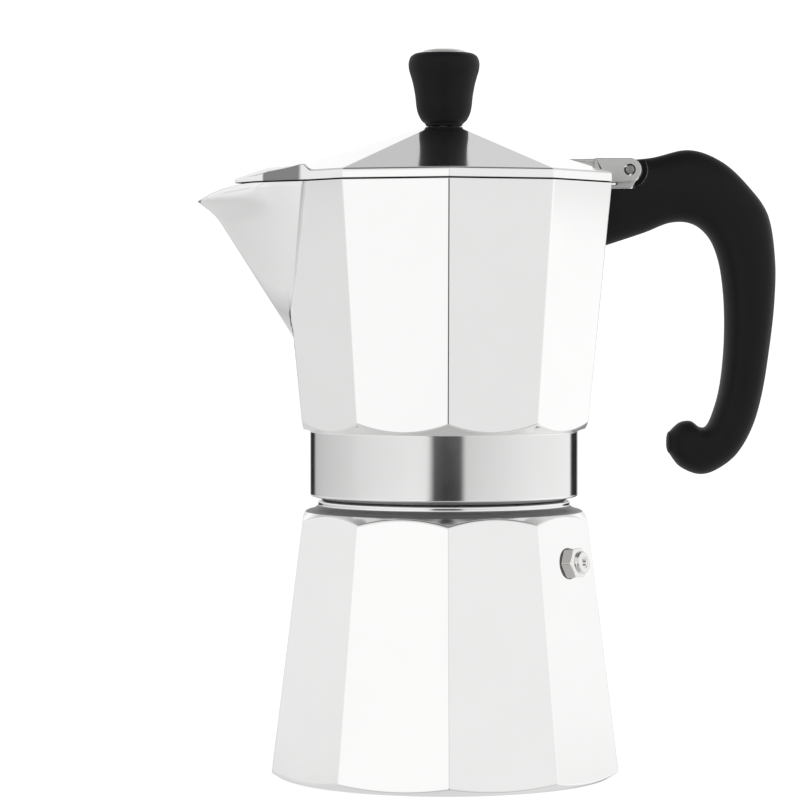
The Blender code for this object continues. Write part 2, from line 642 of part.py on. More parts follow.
def make_knob():
    """Moulded knob with a metal disc let into its top, held by a screw under the lid."""
    origin = (HINGE_X, 0, HINGE_Z)
    hole = SCREW_R + FIT
    outside = [(7.6, 212.2), (9.0, 211.8), (10.1, 210.6), (10.5, 208.9), (10.3, 207.4),
               (9.3, 204.6), (8.6, 201.5), (8.2, 198.3), (7.9, 195.6), (7.2, 193.3),
               (5.6, 191.4)]
    profile = [(0, 211.2 * MM), (7.1 * MM, 211.2 * MM), (7.1 * MM, 212.2 * MM)]
    profile += [(r * MM, z * MM) for r, z in outside]
    profile += [(5.4 * MM, KNOB_LOW_Z), (hole, KNOB_LOW_Z), (hole, 203.6 * MM),
                (0, 204.2 * MM)]
    add_piece("knob", turned(profile, 20), moulded("knob plastic"), origin)
    disc = [(0, 211.5 * MM), (6.8 * MM, 211.5 * MM), (6.8 * MM, 212.4 * MM),
            (5.6 * MM, 213.0 * MM), (3.4 * MM, 213.4 * MM), (0, 213.6 * MM)]
    add_piece("knob_cap", turned(disc, 20), steel("knob cap metal"), origin)
    under = LID_TOP_Z - LID_WALL - FIT
    screw = [(0, under - 2.2 * MM), (2.6 * MM, under - 2.1 * MM), (3.9 * MM, under - 1.0 * MM),
             (3.9 * MM, under), (SCREW_R, under), (SCREW_R, 202.8 * MM), (0, 203.3 * MM)]
    add_piece("knob_screw", turned(screw, 16), steel("knob screw steel"), origin)


# ---------------------------------------------------------------- handle

# Stations along the handle: outer edge, inner edge (X and Z in mm) and half width.
HANDLE_STATIONS = [
    ((45.6, 180.4), (45.0, 154.9), 7.4),
    ((60.2, 181.4), (58.4, 159.3), 7.7),
    ((72.0, 183.8), (66.6, 162.4), 8.2),
    ((81.9, 180.2), (73.2, 162.0), 8.7),
    ((90.0, 172.6), (78.0, 158.0), 9.1),
    ((95.4, 164.4), (80.8, 151.4), 9.4),
    ((97.4, 151.6), (82.2, 143.0), 9.5),
    ((97.2, 139.0), (82.7, 133.8), 9.5),
    ((95.8, 126.0), (82.4, 123.6), 9.4),
    ((93.7, 112.6), (81.2, 113.6), 9.1),
    ((90.9, 102.6), (79.2, 106.4), 8.7),
    ((86.4, 94.6), (77.3, 102.6), 8.3),
    ((80.6, 89.9), (75.2, 102.4), 8.0),
    ((75.2, 88.4), (72.6, 104.1), 7.8),
    ((69.6, 90.6), (69.4, 103.6), 6.9),
    ((66.4, 94.6), (66.5, 101.0), 4.0),
]
HANDLE_SIDES = 12
HANDLE_SQUARENESS = 2.5
HANDLE_STEP_Z = 172.2 * MM


def spline(points, t):
    """Catmull-Rom value at t along a list of equal-length tuples."""
    last = len(points) - 1
    i = min(int(t), last - 1)
    f = t - i
    p = [points[max(0, min(last, k))] for k in (i - 1, i, i + 1, i + 2)]
    value = []
    for a, b, c, d in zip(*p):
        value.append(0.5 * (2 * b + (c - a) * f + (2 * a - 5 * b + 4 * c - d) * f * f
                            + (3 * b - a - 3 * c + d) * f ** 3))
    return value


def handle_ring(station):
    """A rounded section between the outer and inner edges at one station."""
    outer_x, outer_z, inner_x, inner_z, half = station
    centre = Vector(((outer_x + inner_x) / 2, 0, (outer_z + inner_z) / 2))
    reach = Vector(((outer_x - inner_x) / 2, 0, (outer_z - inner_z) / 2))
    points = []
    for k in range(HANDLE_SIDES):
        turn = math.tau * (k + 0.5) / HANDLE_SIDES
        c, s = math.cos(turn), math.sin(turn)
        power = 2 / HANDLE_SQUARENESS
        along = math.copysign(abs(c) ** power, c)
        across = math.copysign(abs(s) ** power, s)
        points.append((centre + reach * along + Vector((0, half * across, 0))) * MM)
    return points


def make_handle():
    """Moulded handle that closes over the collector's lug and is held by a screw from below."""
    flat = [(*outer, *inner, half) for outer, inner, half in HANDLE_STATIONS]
    count = 2 * (len(flat) - 1)
    rings = [handle_ring(spline(flat, k / 2)) for k in range(count + 1)]
    handle = add_piece("handle", loft(rings), moulded("handle plastic"))

    gap = 0.4 * MM
    low, high, inside = 150.0 * MM, 185.0 * MM, 40.0 * MM
    wide = 20.0 * MM
    facet = [(collector_corner(z) * APOTHEM + gap, z) for z in (low, high)]
    trim = slab([(inside, low), facet[0], facet[1], (inside, high)], -wide, wide)
    shape_with(handle, trim, "DIFFERENCE", "cut_handle_root")
    web_y = 3.2 * MM
    notch = [(inside, HANDLE_STEP_Z), (55.6 * MM, HANDLE_STEP_Z)]
    notch += arc(HINGE_X, HINGE_Z, EYE_R + 0.5 * MM, -62, 62, 10)
    notch += [(56.1 * MM, high), (inside, high)]
    shape_with(handle, slab(notch, -wide, wide), "DIFFERENCE", "cut_hinge_notch")
    recess = [(inside, HANDLE_STEP_Z), (55.4 * MM, HANDLE_STEP_Z)]
    recess += arc(HINGE_X, HINGE_Z, EYE_R + 1.9 * MM, -76, 25, 10)
    recess += [(59.0 * MM, high), (inside, high)]
    shape_with(handle, slab(recess, -wide, -web_y), "DIFFERENCE", "cut_front_ear_recess")
    shape_with(handle, slab(recess, web_y, wide), "DIFFERENCE", "cut_back_ear_recess")
    pocket = box((inside, -LUG_HALF_Y - gap, LUG_LOW_Z - gap),
                 (LUG_END_X + gap, LUG_HALF_Y + gap, LUG_TOP_Z + gap))
    shape_with(handle, pocket, "DIFFERENCE", "cut_lug_pocket")
    shank = rod(HANDLE_SCREW_R + FIT, (HANDLE_SCREW_X, 0, low), (HANDLE_SCREW_X, 0, 165.0 * MM))
    shape_with(handle, shank, "DIFFERENCE", "cut_screw_hole")
    head_r, seat = HANDLE_SCREW_HEAD_R, 162.0 * MM
    head = rod(head_r + FIT, (HANDLE_SCREW_X, 0, low), (HANDLE_SCREW_X, 0, seat))
    shape_with(handle, head, "DIFFERENCE", "cut_screw_head")
    head_top = seat - FIT
    screw = turned([(0, head_top - 1.8 * MM), (2.2 * MM, head_top - 1.8 * MM),
                    (head_r, head_top - 1.2 * MM), (head_r, head_top),
                    (HANDLE_SCREW_R, head_top), (HANDLE_SCREW_R, 168.0 * MM),
                    (0, 168.4 * MM)], 20)
    bmesh.ops.translate(screw, verts=screw.verts, vec=(HANDLE_SCREW_X, 0, 0))
    add_piece("handle_screw", screw, steel("handle screw steel"))


for old in list(bpy.data.objects):
    bpy.data.objects.remove(old, do_unlink=True)

make_boiler()
make_valve()
make_funnel()
make_seal_stack()
make_collector()
make_column()
make_lid()
make_knob()
make_handle()
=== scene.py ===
"""Looks of a stovetop moka pot, made piece by piece in the order that the pot goes together."""

import json
import math

import bmesh
import bpy
import numpy as np
from mathutils import Matrix, Vector


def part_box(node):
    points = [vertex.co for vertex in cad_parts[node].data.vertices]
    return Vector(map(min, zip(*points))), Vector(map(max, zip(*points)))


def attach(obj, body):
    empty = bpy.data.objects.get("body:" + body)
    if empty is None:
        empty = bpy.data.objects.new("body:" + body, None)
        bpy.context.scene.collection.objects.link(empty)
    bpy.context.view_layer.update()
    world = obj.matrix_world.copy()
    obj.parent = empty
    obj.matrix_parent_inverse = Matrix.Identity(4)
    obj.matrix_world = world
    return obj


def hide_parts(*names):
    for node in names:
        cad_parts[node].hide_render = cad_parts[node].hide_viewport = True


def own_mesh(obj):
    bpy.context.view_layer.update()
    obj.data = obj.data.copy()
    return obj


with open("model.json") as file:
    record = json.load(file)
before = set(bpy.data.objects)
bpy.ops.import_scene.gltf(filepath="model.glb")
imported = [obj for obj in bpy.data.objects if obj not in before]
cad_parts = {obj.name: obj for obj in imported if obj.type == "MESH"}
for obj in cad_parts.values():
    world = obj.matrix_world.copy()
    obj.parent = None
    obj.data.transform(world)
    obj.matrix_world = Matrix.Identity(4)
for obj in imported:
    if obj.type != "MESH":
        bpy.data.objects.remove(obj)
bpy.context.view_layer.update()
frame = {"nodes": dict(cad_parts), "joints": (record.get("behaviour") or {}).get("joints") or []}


# ------------------------------------------------------------------ camera
# A long lens a little above the pot's collar, looking slightly down.
# It stands to the left of the pot's axis, so the front edge of the facets shows just right of it.

camera_data = bpy.data.cameras.new("camera")
camera_data.lens = 150.4
camera_data.sensor_width = 36
camera_data.clip_end = 20
camera = bpy.data.objects.new("camera", camera_data)
camera.location = (-0.0277, -0.9836, 0.135)
camera.rotation_euler = (math.radians(90 - 1.44), 0, math.radians(-0.86))
bpy.context.scene.collection.objects.link(camera)
bpy.context.scene.camera = camera


# ------------------------------------------------------------------ studio
# A pale table and one soft lamp, inside a white tent with a dark gap behind the camera.
# The gap and two thin flags behind the pot give the polished metal its dark lines.

bpy.context.scene.view_settings.view_transform = "Standard"


def link(tree, source, target):
    """Join two sockets of a node tree."""
    tree.links.new(source, target)


def set_values(node, **settings):
    """A node with its plain settings and its unlinked inputs given by name."""
    for name, value in settings.items():
        if hasattr(node, name):
            setattr(node, name, value)
        else:
            node.inputs[name.replace("_", " ")].default_value = value
    return node


def add_node(tree, kind, **settings):
    """A new node of a kind, with its values."""
    return set_values(tree.nodes.new(kind), **settings)


def add_math(tree, operation, first, second=None):
    """The result of one sum on sockets or numbers."""
    node = tree.nodes.new("ShaderNodeMath")
    node.operation = operation
    for socket, value in zip(node.inputs, (first, second)):
        if value is None:
            continue
        if isinstance(value, (int, float)):
            socket.default_value = value
        else:
            link(tree, value, socket)
    return node.outputs[0]


def add_range(tree, value, start, stop, low=0.0, high=1.0):
    """A value moved from the range start to stop onto the range low to high."""
    node = add_node(tree, "ShaderNodeMapRange", From_Min=start, From_Max=stop, To_Min=low,
                    To_Max=high)
    link(tree, value, node.inputs["Value"])
    return node.outputs[0]


def add_ramp(tree, factor, stops):
    """A grey ramp given as (place, value) stops."""
    node = tree.nodes.new("ShaderNodeValToRGB")
    elements = node.color_ramp.elements
    elements.remove(elements[-1])
    for i, (place, value) in enumerate(stops):
        element = elements[0] if i == 0 else elements.new(place)
        element.position = place
        element.color = (value, value, value, 1)
    link(tree, factor, node.inputs[0])
    return node.outputs[0]


def make_tent():
    """World light: brightness from the bearing and the height of a direction.

    Each level of the tent has its own ramp round the bearing, from behind by way of the left,
    the camera side (0) and the right to behind again.  Between two levels the ramps blend in a
    straight line of the height.
    """
    world = bpy.data.worlds.new("tent")
    bpy.context.scene.world = world
    world.use_nodes = True
    tree = world.node_tree
    tree.nodes.clear()
    direction = add_node(tree, "ShaderNodeTexCoord").outputs["Generated"]
    split = add_node(tree, "ShaderNodeSeparateXYZ")
    link(tree, direction, split.inputs[0])
    towards = add_math(tree, "MULTIPLY", split.outputs["Y"], -1.0)
    bearing = add_math(tree, "ARCTAN2", split.outputs["X"], towards)
    share = add_math(tree, "ADD", add_math(tree, "DIVIDE", bearing, math.tau), 0.5)
    deep = [(-180, 0.7), (-125, 0.7), (-78, 0.65), (-40, 0.55), (-15, 0.5), (15, 0.5), (60, 0.6),
            (108, 0.85), (180, 0.7)]
    low = [(-180, 0.7), (-150, 0.55), (-125, 0.77), (-108, 0.77), (-86, 0.80), (-70, 0.92),
           (-58, 1.00), (-18, 1.00), (-14, 0.3), (-10, 0.03), (10, 0.03), (14, 0.25),
           (18, 0.81), (50, 0.83), (68, 0.9), (84, 1.02), (125, 1.04), (145, 0.7), (155, 0.2),
           (168, 0.2), (180, 0.7)]
    level = [(-180, 0.1), (-175, 0.7), (-169, 0.7), (-166, 0.02), (-151, 0.02), (-145, 0.50),
             (-125, 0.56), (-94, 0.63), (-78, 0.70), (-60, 0.73), (-30, 0.77), (-15, 0.76),
             (-10, 0.06), (0, 0.02), (13, 0.05), (17, 0.58), (34, 0.66), (63, 0.76),
             (110, 0.84), (135, 0.88), (141, 0.02), (160, 0.02), (166, 0.7), (180, 0.1)]
    high = [(-180, 0.9), (-160, 0.7), (-140, 0.8), (-120, 0.86), (-90, 0.86), (-78, 0.92),
            (-62, 1.00), (-20, 1.02), (-8, 0.72), (8, 0.66), (20, 0.86), (52, 0.89), (70, 0.95),
            (85, 0.99), (130, 0.99), (160, 0.8), (180, 0.9)]
    upper = [(-180, 1.06), (-150, 1.06), (-90, 0.9), (-40, 0.85), (0, 0.6), (40, 0.85),
             (90, 0.95), (150, 1.06), (180, 1.06)]
    roof = [(-180, 0.56), (-150, 0.56), (-90, 0.8), (0, 0.8), (90, 0.85), (150, 0.66),
            (180, 0.66)]
    dome = [(-180, 0.15), (180, 0.15)]
    levels = [(-32, deep), (-12.5, low), (-4.1, low), (-3.5, level), (-1.6, level), (0.4, high),
              (11, high), (17, upper), (27, roof), (44, roof), (60, dome)]
    value = None
    rise = add_math(tree, "ARCSINE", split.outputs["Z"])
    for below, (degrees, ring) in zip([None] + levels, levels):
        stops = [(0.5 + bearing_stop / 360, bright) for bearing_stop, bright in ring]
        ramp = add_ramp(tree, share, stops)
        if below is None:
            value = ramp
            continue
        mix = add_node(tree, "ShaderNodeMix", data_type="FLOAT")
        blend = add_range(tree, rise, math.radians(below[0]), math.radians(degrees))
        link(tree, blend, mix.inputs[0])
        link(tree, value, mix.inputs[2])
        link(tree, ramp, mix.inputs[3])
        value = mix.outputs[0]
    tent = add_node(tree, "ShaderNodeBackground", Color=(1, 1, 1, 1))
    link(tree, value, tent.inputs["Strength"])
    backdrop = add_node(tree, "ShaderNodeBackground", Color=(1, 1, 1, 1), Strength=1.1)
    rays = add_node(tree, "ShaderNodeLightPath")
    choose = add_node(tree, "ShaderNodeMixShader")
    link(tree, rays.outputs["Is Camera Ray"], choose.inputs[0])
    link(tree, tent.outputs[0], choose.inputs[1])
    link(tree, backdrop.outputs[0], choose.inputs[2])
    link(tree, choose.outputs[0], add_node(tree, "ShaderNodeOutputWorld").inputs[0])


def make_floor():
    """A flat pale table, left out of the metal's reflections: the tent alone shapes them."""
    half, front, back = 6.0, -6.0, 8.0
    mesh = bpy.data.meshes.new("floor")
    corners = [(-half, front, 0), (half, front, 0), (half, back, 0), (-half, back, 0)]
    mesh.from_pydata(corners, [], [(0, 1, 2, 3)])
    floor = bpy.data.objects.new("floor", mesh)
    bpy.context.scene.collection.objects.link(floor)
    paint = bpy.data.materials.new("table")
    paint.use_nodes = True
    set_values(paint.node_tree.nodes["Principled BSDF"], Base_Color=(0.93, 0.93, 0.93, 1),
               Roughness=0.7, Specular_IOR_Level=0.2, Emission_Color=(1, 1, 1, 1),
               Emission_Strength=0.55)
    mesh.materials.append(paint)
    floor.visible_glossy = False


def add_lamp(name, place, aim, size, power):
    """A square soft lamp at a place, turned to aim at a point."""
    data = bpy.data.lights.new(name, "AREA")
    data.size = size
    data.energy = power
    lamp = bpy.data.objects.new(name, data)
    lamp.location = place
    lamp.rotation_mode = "QUATERNION"
    lamp.rotation_quaternion = (Vector(aim) - Vector(place)).to_track_quat("-Z", "Y")
    lamp.visible_glossy = False
    bpy.context.scene.collection.objects.link(lamp)


make_tent()
make_floor()
add_lamp("key_lamp", (1.4, -1.2, 1.5), (0, 0, 0.1), 0.9, 16)


# ------------------------------------------------------------------ boiler
# The water pot is cast in aluminium, and its ten facets and turned ends are polished.
# Its neck carries the screw thread, and its flat foot stands on the hob.

MM = 0.001
FACETS = 10
HALF_FACET = math.pi / FACETS
THREAD_PITCH = 3.0 * MM


def facet_angles(per_facet):
    """Bearings round the pot, crowded to the corners: 18 degrees times tanh(ct)/tanh(c)."""
    crowd = 2.6
    t = np.linspace(-1, 1, per_facet, endpoint=False)
    offsets = HALF_FACET * np.tanh(crowd * t) / math.tanh(crowd)
    centres = -math.pi / 2 + HALF_FACET * (1 + 2 * np.arange(FACETS))
    return (centres[:, None] + offsets).ravel()


def facet_share(angles, softness=0.02):
    """Radius of a ten-sided outline as a share of its corner radius.

    One flat gives cos(18)/cos(offset).  Two flats a and b meet in a rounded edge through the
    power mean a * (1 + (b/a)^p)^(1/p), where p falls as the edge radius, a share, grows.
    """
    offset = np.abs((angles + math.pi / 2) % (2 * HALF_FACET) - HALF_FACET)
    near = np.cos(offset)
    next_one = np.cos(2 * HALF_FACET - offset)
    power = 13.5 / softness
    return math.cos(HALF_FACET) / (near * (1 + (next_one / near) ** power) ** (1 / power))


def rounded(corners, radii, steps=5):
    """Rows along a line of corners, each inner corner replaced by a small quadratic arc.

    A corner is a row of (radius, height) pairs, one for each bearing.  Each arc starts and ends
    its radius away from the corner, and a guard row beside it keeps the flats flat.
    """
    guard = 0.12 * MM
    rows = [corners[0]]
    for before, corner, after, radius in zip(corners, corners[1:], corners[2:], radii):
        back, ahead = before - corner, after - corner
        back_length = np.linalg.norm(back, axis=-1, keepdims=True)
        ahead_length = np.linalg.norm(ahead, axis=-1, keepdims=True)
        shorter = np.minimum(back_length, ahead_length)
        reach = np.minimum(radius, 0.45 * shorter)
        near = np.minimum(guard, 0.04 * shorter)
        back, ahead = back / back_length, ahead / ahead_length
        start, end = corner + back * reach, corner + ahead * reach
        rows.append(start + back * near)
        for t in np.linspace(0, 1, steps + 1):
            rows.append((1 - t) ** 2 * start + 2 * t * (1 - t) * corner + t * t * end)
        rows.append(end + ahead * near)
    rows.append(corners[-1])
    return np.array(rows)


def corner_row(angles, radius, height):
    """One corner of a profile: a radius and a height for each bearing."""
    return np.stack(np.broadcast_arrays(radius, height, angles), axis=-1)[..., :2] * 1.0


def corners_on(angles):
    """A function that gives one corner of a profile, in mm, for each of these bearings."""
    return lambda radius, height: corner_row(angles, radius * MM, height * MM)


def turn_rows(rows, angles):
    """Points of (radius, height) rows carried round the Z axis."""
    radius, height = rows[..., 0], rows[..., 1]
    return np.stack((radius * np.cos(angles), radius * np.sin(angles), height), axis=-1)


def make_piece(name, points, faces, material, body, slot, *nodes, cast_and_shade=None):
    """Mesh, material and frame calls of one piece; doubles at poles are merged.

    The last argument gives, from 0 to 1, how far each point is left rough from the mould and
    darkened as painted shade.
    """
    mesh = bpy.data.meshes.new(name)
    mesh.from_pydata(points, [], faces)
    if cast_and_shade is not None:
        mesh.attributes.new("cast_and_shade", "FLOAT", "POINT").data.foreach_set("value", cast_and_shade.ravel())
    bm = bmesh.new()
    bm.from_mesh(mesh)
    bmesh.ops.remove_doubles(bm, verts=bm.verts, dist=1e-8)
    bmesh.ops.recalc_face_normals(bm, faces=bm.faces)
    bm.to_mesh(mesh)
    bm.free()
    mesh.shade_smooth()
    piece = bpy.data.objects.new(name, mesh)
    bpy.context.scene.collection.objects.link(piece)
    mesh.materials.append(material)
    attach(piece, body)
    if nodes:
        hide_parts(*nodes)
    return piece


def grid_faces(rows, columns, loop=False):
    """Quads of a grid that closes round its columns, and round its rows if it is a loop."""
    i = np.arange(rows if loop else rows - 1)[:, None]
    j = np.arange(columns)[None, :]
    after, beside = (i + 1) % rows, (j + 1) % columns
    quads = np.stack(np.broadcast_arrays(i * columns + j, i * columns + beside,
                                         after * columns + beside, after * columns + j), -1)
    return quads.reshape(-1, 4).tolist()


def skin(name, grid, material, body, slot, *nodes, loop=False, cast_and_shade=None):
    """A piece whose surface is one grid of points, rows by columns."""
    rows, columns = grid.shape[:2]
    faces = grid_faces(rows, columns, loop)
    return make_piece(name, grid.reshape(-1, 3).tolist(), faces, material, body, slot, *nodes,
                      cast_and_shade=cast_and_shade)


def thread_rows(angles, root, crest, low, high, shift=0.0):
    """Rows of a helical ridge: radius = root + depth * crest shape of (z/pitch - bearing/turn)."""
    heights = np.arange(low, high, THREAD_PITCH / 14)
    z = heights[:, None]
    phase = ((z - low) / THREAD_PITCH - angles / math.tau + shift) % 1.0
    ridge = np.clip(1.35 - 2.7 * np.abs(phase - 0.5), 0, 1)
    ridge = ridge * ridge * (3 - 2 * ridge)
    run = np.minimum((z - low), (high - z)) / (0.6 * THREAD_PITCH)
    radius = root + (crest - root) * ridge * np.clip(run, 0, 1)
    return np.stack(np.broadcast_arrays(radius, z), axis=-1)


def surface_group():
    """Shader group for worked metal: fine grain, slow waviness, turned lines and smudges.

    Lines follow sin of the height or of the radius.  It gives a height for a Bump node and a
    mask of soft patches that the material adds to its roughness.
    """
    group = bpy.data.node_groups.new("worked_metal", "ShaderNodeTree")
    names = ("Grain Size", "Grain Depth", "Wave Depth", "Line Pitch", "Line Depth")
    group.interface.new_socket("Vector", in_out="INPUT", socket_type="NodeSocketVector")
    for name in names:
        group.interface.new_socket(name, in_out="INPUT", socket_type="NodeSocketFloat")
    group.interface.new_socket("Height", in_out="OUTPUT", socket_type="NodeSocketFloat")
    group.interface.new_socket("Patches", in_out="OUTPUT", socket_type="NodeSocketFloat")
    start = add_node(group, "NodeGroupInput")
    end = add_node(group, "NodeGroupOutput")
    grain = add_node(group, "ShaderNodeTexNoise", Detail=3.0, Roughness=0.6)
    link(group, add_math(group, "DIVIDE", 1.0, start.outputs["Grain Size"]), grain.inputs["Scale"])
    wave = add_node(group, "ShaderNodeTexNoise", Scale=55.0, Detail=1.0)
    patches = add_node(group, "ShaderNodeTexNoise", Scale=38.0, Detail=4.0, Roughness=0.65)
    for noise in (grain, wave, patches):
        link(group, start.outputs["Vector"], noise.inputs["Vector"])
    split = add_node(group, "ShaderNodeSeparateXYZ")
    link(group, start.outputs["Vector"], split.inputs[0])
    flat = add_node(group, "ShaderNodeCombineXYZ")
    link(group, split.outputs["X"], flat.inputs["X"])
    link(group, split.outputs["Y"], flat.inputs["Y"])
    length = add_node(group, "ShaderNodeVectorMath", operation="LENGTH")
    link(group, flat.outputs[0], length.inputs[0])
    along = add_math(group, "ADD", split.outputs["Z"], length.outputs["Value"])
    turns = add_math(group, "DIVIDE", along, start.outputs["Line Pitch"])
    lines = add_node(group, "ShaderNodeTexNoise", noise_dimensions="1D", Scale=1.0, Detail=2.0)
    link(group, turns, lines.inputs["W"])
    parts = [add_math(group, "MULTIPLY", noise.outputs[0], start.outputs[name + " Depth"])
             for noise, name in ((grain, "Grain"), (wave, "Wave"), (lines, "Line"))]
    height = add_math(group, "ADD", add_math(group, "ADD", parts[0], parts[1]), parts[2])
    link(group, height, end.inputs["Height"])
    link(group, patches.outputs[0], end.inputs["Patches"])
    return group


worked_metal = surface_group()


def start_material(name, sizes):
    """A material whose bump is the group's height; sizes are the group's inputs in mm."""
    material = bpy.data.materials.new(name)
    material.use_nodes = True
    tree = material.node_tree
    shader = tree.nodes["Principled BSDF"]
    worked = add_node(tree, "ShaderNodeGroup")
    worked.node_tree = worked_metal
    place = add_node(tree, "ShaderNodeTexCoord").outputs["Object"]
    link(tree, place, worked.inputs["Vector"])
    for socket, size in zip(list(worked.inputs)[1:], sizes):
        socket.default_value = size * MM
    bump = add_node(tree, "ShaderNodeBump", Strength=1.0, Distance=1.0)
    link(tree, worked.outputs["Height"], bump.inputs["Height"])
    link(tree, bump.outputs[0], shader.inputs["Normal"])
    return material, tree, shader, worked.outputs["Patches"]


def add_mix(tree, share, first, second):
    """A colour between two, each a colour's three numbers or a socket."""
    node = add_node(tree, "ShaderNodeMix", data_type="RGBA")
    link(tree, share, node.inputs[0])
    for socket, colour in zip((node.inputs[6], node.inputs[7]), (first, second)):
        if isinstance(colour, tuple):
            socket.default_value = (*colour, 1)
        else:
            link(tree, colour, socket)
    return node.outputs[2]


def metal(name, colour, roughness, spread, grain, wave=0.0, lines=(0.25, 0.0)):
    """A bare metal: colour, roughness from the patches, and a bump of the group's height in mm.

    Where the piece's rough-cast attribute is high the metal turns dull, and its colour darkens in
    speckles as painted shade for hollows,
    creases and insides: the share is 0 to 1 over that attribute + 0.5 * (patches - 0.5) from 0.35
    to 0.65.
    """
    material, tree, shader, patches = start_material(name, (*grain, wave, *lines))
    shader.inputs["Metallic"].default_value = 1.0
    rough = add_range(tree, patches, 0.3, 0.7, roughness, roughness + spread)
    tint = add_mix(tree, patches, colour, tuple(c * 0.97 for c in colour))
    cast_and_shade = add_node(tree, "ShaderNodeAttribute", attribute_name="cast_and_shade").outputs["Fac"]
    speckle = add_math(tree, "MULTIPLY", add_math(tree, "SUBTRACT", patches, 0.5), 0.5)
    share = add_range(tree, add_math(tree, "ADD", cast_and_shade, speckle), 0.35, 0.65)
    dulled = add_math(tree, "MULTIPLY", share, 0.4)
    link(tree, add_math(tree, "ADD", rough, dulled), shader.inputs["Roughness"])
    # Painted shade: the colour goes towards dark grey 0.30 where the share is high.
    link(tree, add_mix(tree, share, tint, (0.30, 0.30, 0.30)), shader.inputs["Base Color"])
    return material


polished = metal("polished_aluminium", (0.965, 0.965, 0.96), 0.07, 0.04,
                 grain=(0.22, 0.0010), wave=0.008, lines=(0.30, 0.0006))


def make_boiler():
    """Foot, facets, shoulder, neck with thread, lip, and the plain turned inside."""
    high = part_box("boiler")[1]
    foot, top_z = high.y, high.z
    angles = facet_angles(34)
    share = facet_share(angles)
    foot_z, shoulder_z, shoulder = 2.5 * MM, 75.3 * MM, 43.7 * MM
    taper = (shoulder - foot) / (shoulder_z - foot_z)
    disc, chamfer, cone = 48.9 * MM, 1.64, -1.21

    def meet(start, slope, at_z):
        """Where a turned cone r = start + slope * (z - at_z) meets each bearing's facet."""
        height = (share * (foot - taper * foot_z) - start + slope * at_z) / (slope - share * taper)
        return corner_row(angles, start + slope * (height - at_z), height)

    at = corners_on(angles)
    outside = [at(0, 0.8), at(30, 0.8), at(31, 0), corner_row(angles, disc, 0.0),
               meet(disc, chamfer, 0.0), meet(shoulder, cone, shoulder_z),
               at(40.2, 78.1), at(38.6, 78.4), at(37.1, 79.3), at(37.1, 80.8), at(35.1, 81.1),
               at(35.1, 83.0), at(33.6, 83.7), at(33.6, 84.0)]
    radii = [0.3, 0.4, 0.8, 0.5, 0.5, 1.2, 0.6, 0.5, 0.5, 0.3, 0.3, 0.4]
    rows = [rounded(outside, np.array(radii) * MM)]
    rows.append(thread_rows(angles, 33.6 * MM, 34.5 * MM, 84.1 * MM, 92.2 * MM))
    lip = top_z / MM
    inside = [at(33.6, lip - 0.7), at(33.6, lip - 0.5), at(33.0, lip), at(31.0, lip),
              at(30.8, lip - 0.4), at(30.8, 78), at(33.0, 75.2), at(38.6, 71.5), at(46.8, 8),
              at(44.5, 4.6), at(41, 3.5), at(0, 3.5)]
    radii = [0.2, 0.3, 0.3, 0.2, 1.5, 2, 4, 3, 2, 2]
    rows.append(rounded(inside, np.array(radii) * MM))
    grid = turn_rows(np.concatenate(rows), angles)
    radius, height = rows[0][..., 0], rows[0][..., 1]
    # Painted shade: the neck's fillets are left rough from the mould and darkened, the ring only
    # lightly speckled, and the whole inside is dull and darkened.
    neck = (radius < 40.8 * MM) * (height > 70 * MM)
    ring_z, ring_half, ring_cast, fillet_cast_and_shade = 80.2 * MM, 0.7 * MM, 0.2, 0.75
    shade = [neck * np.where(np.abs(height - ring_z) < ring_half, ring_cast, fillet_cast_and_shade)]
    shade += [np.zeros(rows[1].shape[:2]), np.ones(rows[2].shape[:2])]
    return skin("boiler_casting", grid, polished, "boiler_body", "polished_aluminium", "boiler",
                cast_and_shade=np.concatenate(shade))


boiler_casting = make_boiler()


# ------------------------------------------------------------------ safety valve
# A nickel-plated hexagon is screwed into the facet between the front and the handle, on a washer.
# Its round nose is crimped over the hexagon, and a sprung rod shows in the hole.

nickel = metal("nickel_plate", (0.86, 0.85, 0.83), 0.05, 0.06,
               grain=(0.5, 0.004), wave=0.004, lines=(0.2, 0.003))
fibre = metal("pressed_fibre", (0.10, 0.09, 0.08), 0.6, 0.2, grain=(0.3, 0.02))
fibre.node_tree.nodes["Principled BSDF"].inputs["Metallic"].default_value = 0.0


def placed(points, place):
    """Points turned and moved by a 4 x 4 placing."""
    turn = np.array(place)
    return points @ turn[:3, :3].T + turn[:3, 3]


def turned_piece(name, corners, radii, material, body, slot, *nodes, columns=72, place=None):
    """A turned piece: rounded (radius, height) corners in mm, spun about Z and then placed."""
    angles = np.arange(columns) * math.tau / columns
    at = corners_on(angles)
    rows = rounded([at(radius, height) for radius, height in corners], np.array(radii) * MM)
    grid = turn_rows(rows, angles)
    if place is not None:
        grid = placed(grid, place)
    return skin(name, grid, material, body, slot, *nodes)


def valve_frame():
    """Place on the facet, read from the washer's middle, with Z along the plunger's joint."""
    joint = next(j for j in frame["joints"] if j["name"] == "valve_lift")
    axis = Vector(joint["axis"]).normalized()
    low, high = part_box("valve_washer")
    washer_middle = 0.45 * MM
    return Matrix.Translation((low + high) / 2 - axis * washer_middle) @ \
        axis.to_track_quat("Z", "Y").to_matrix().to_4x4()


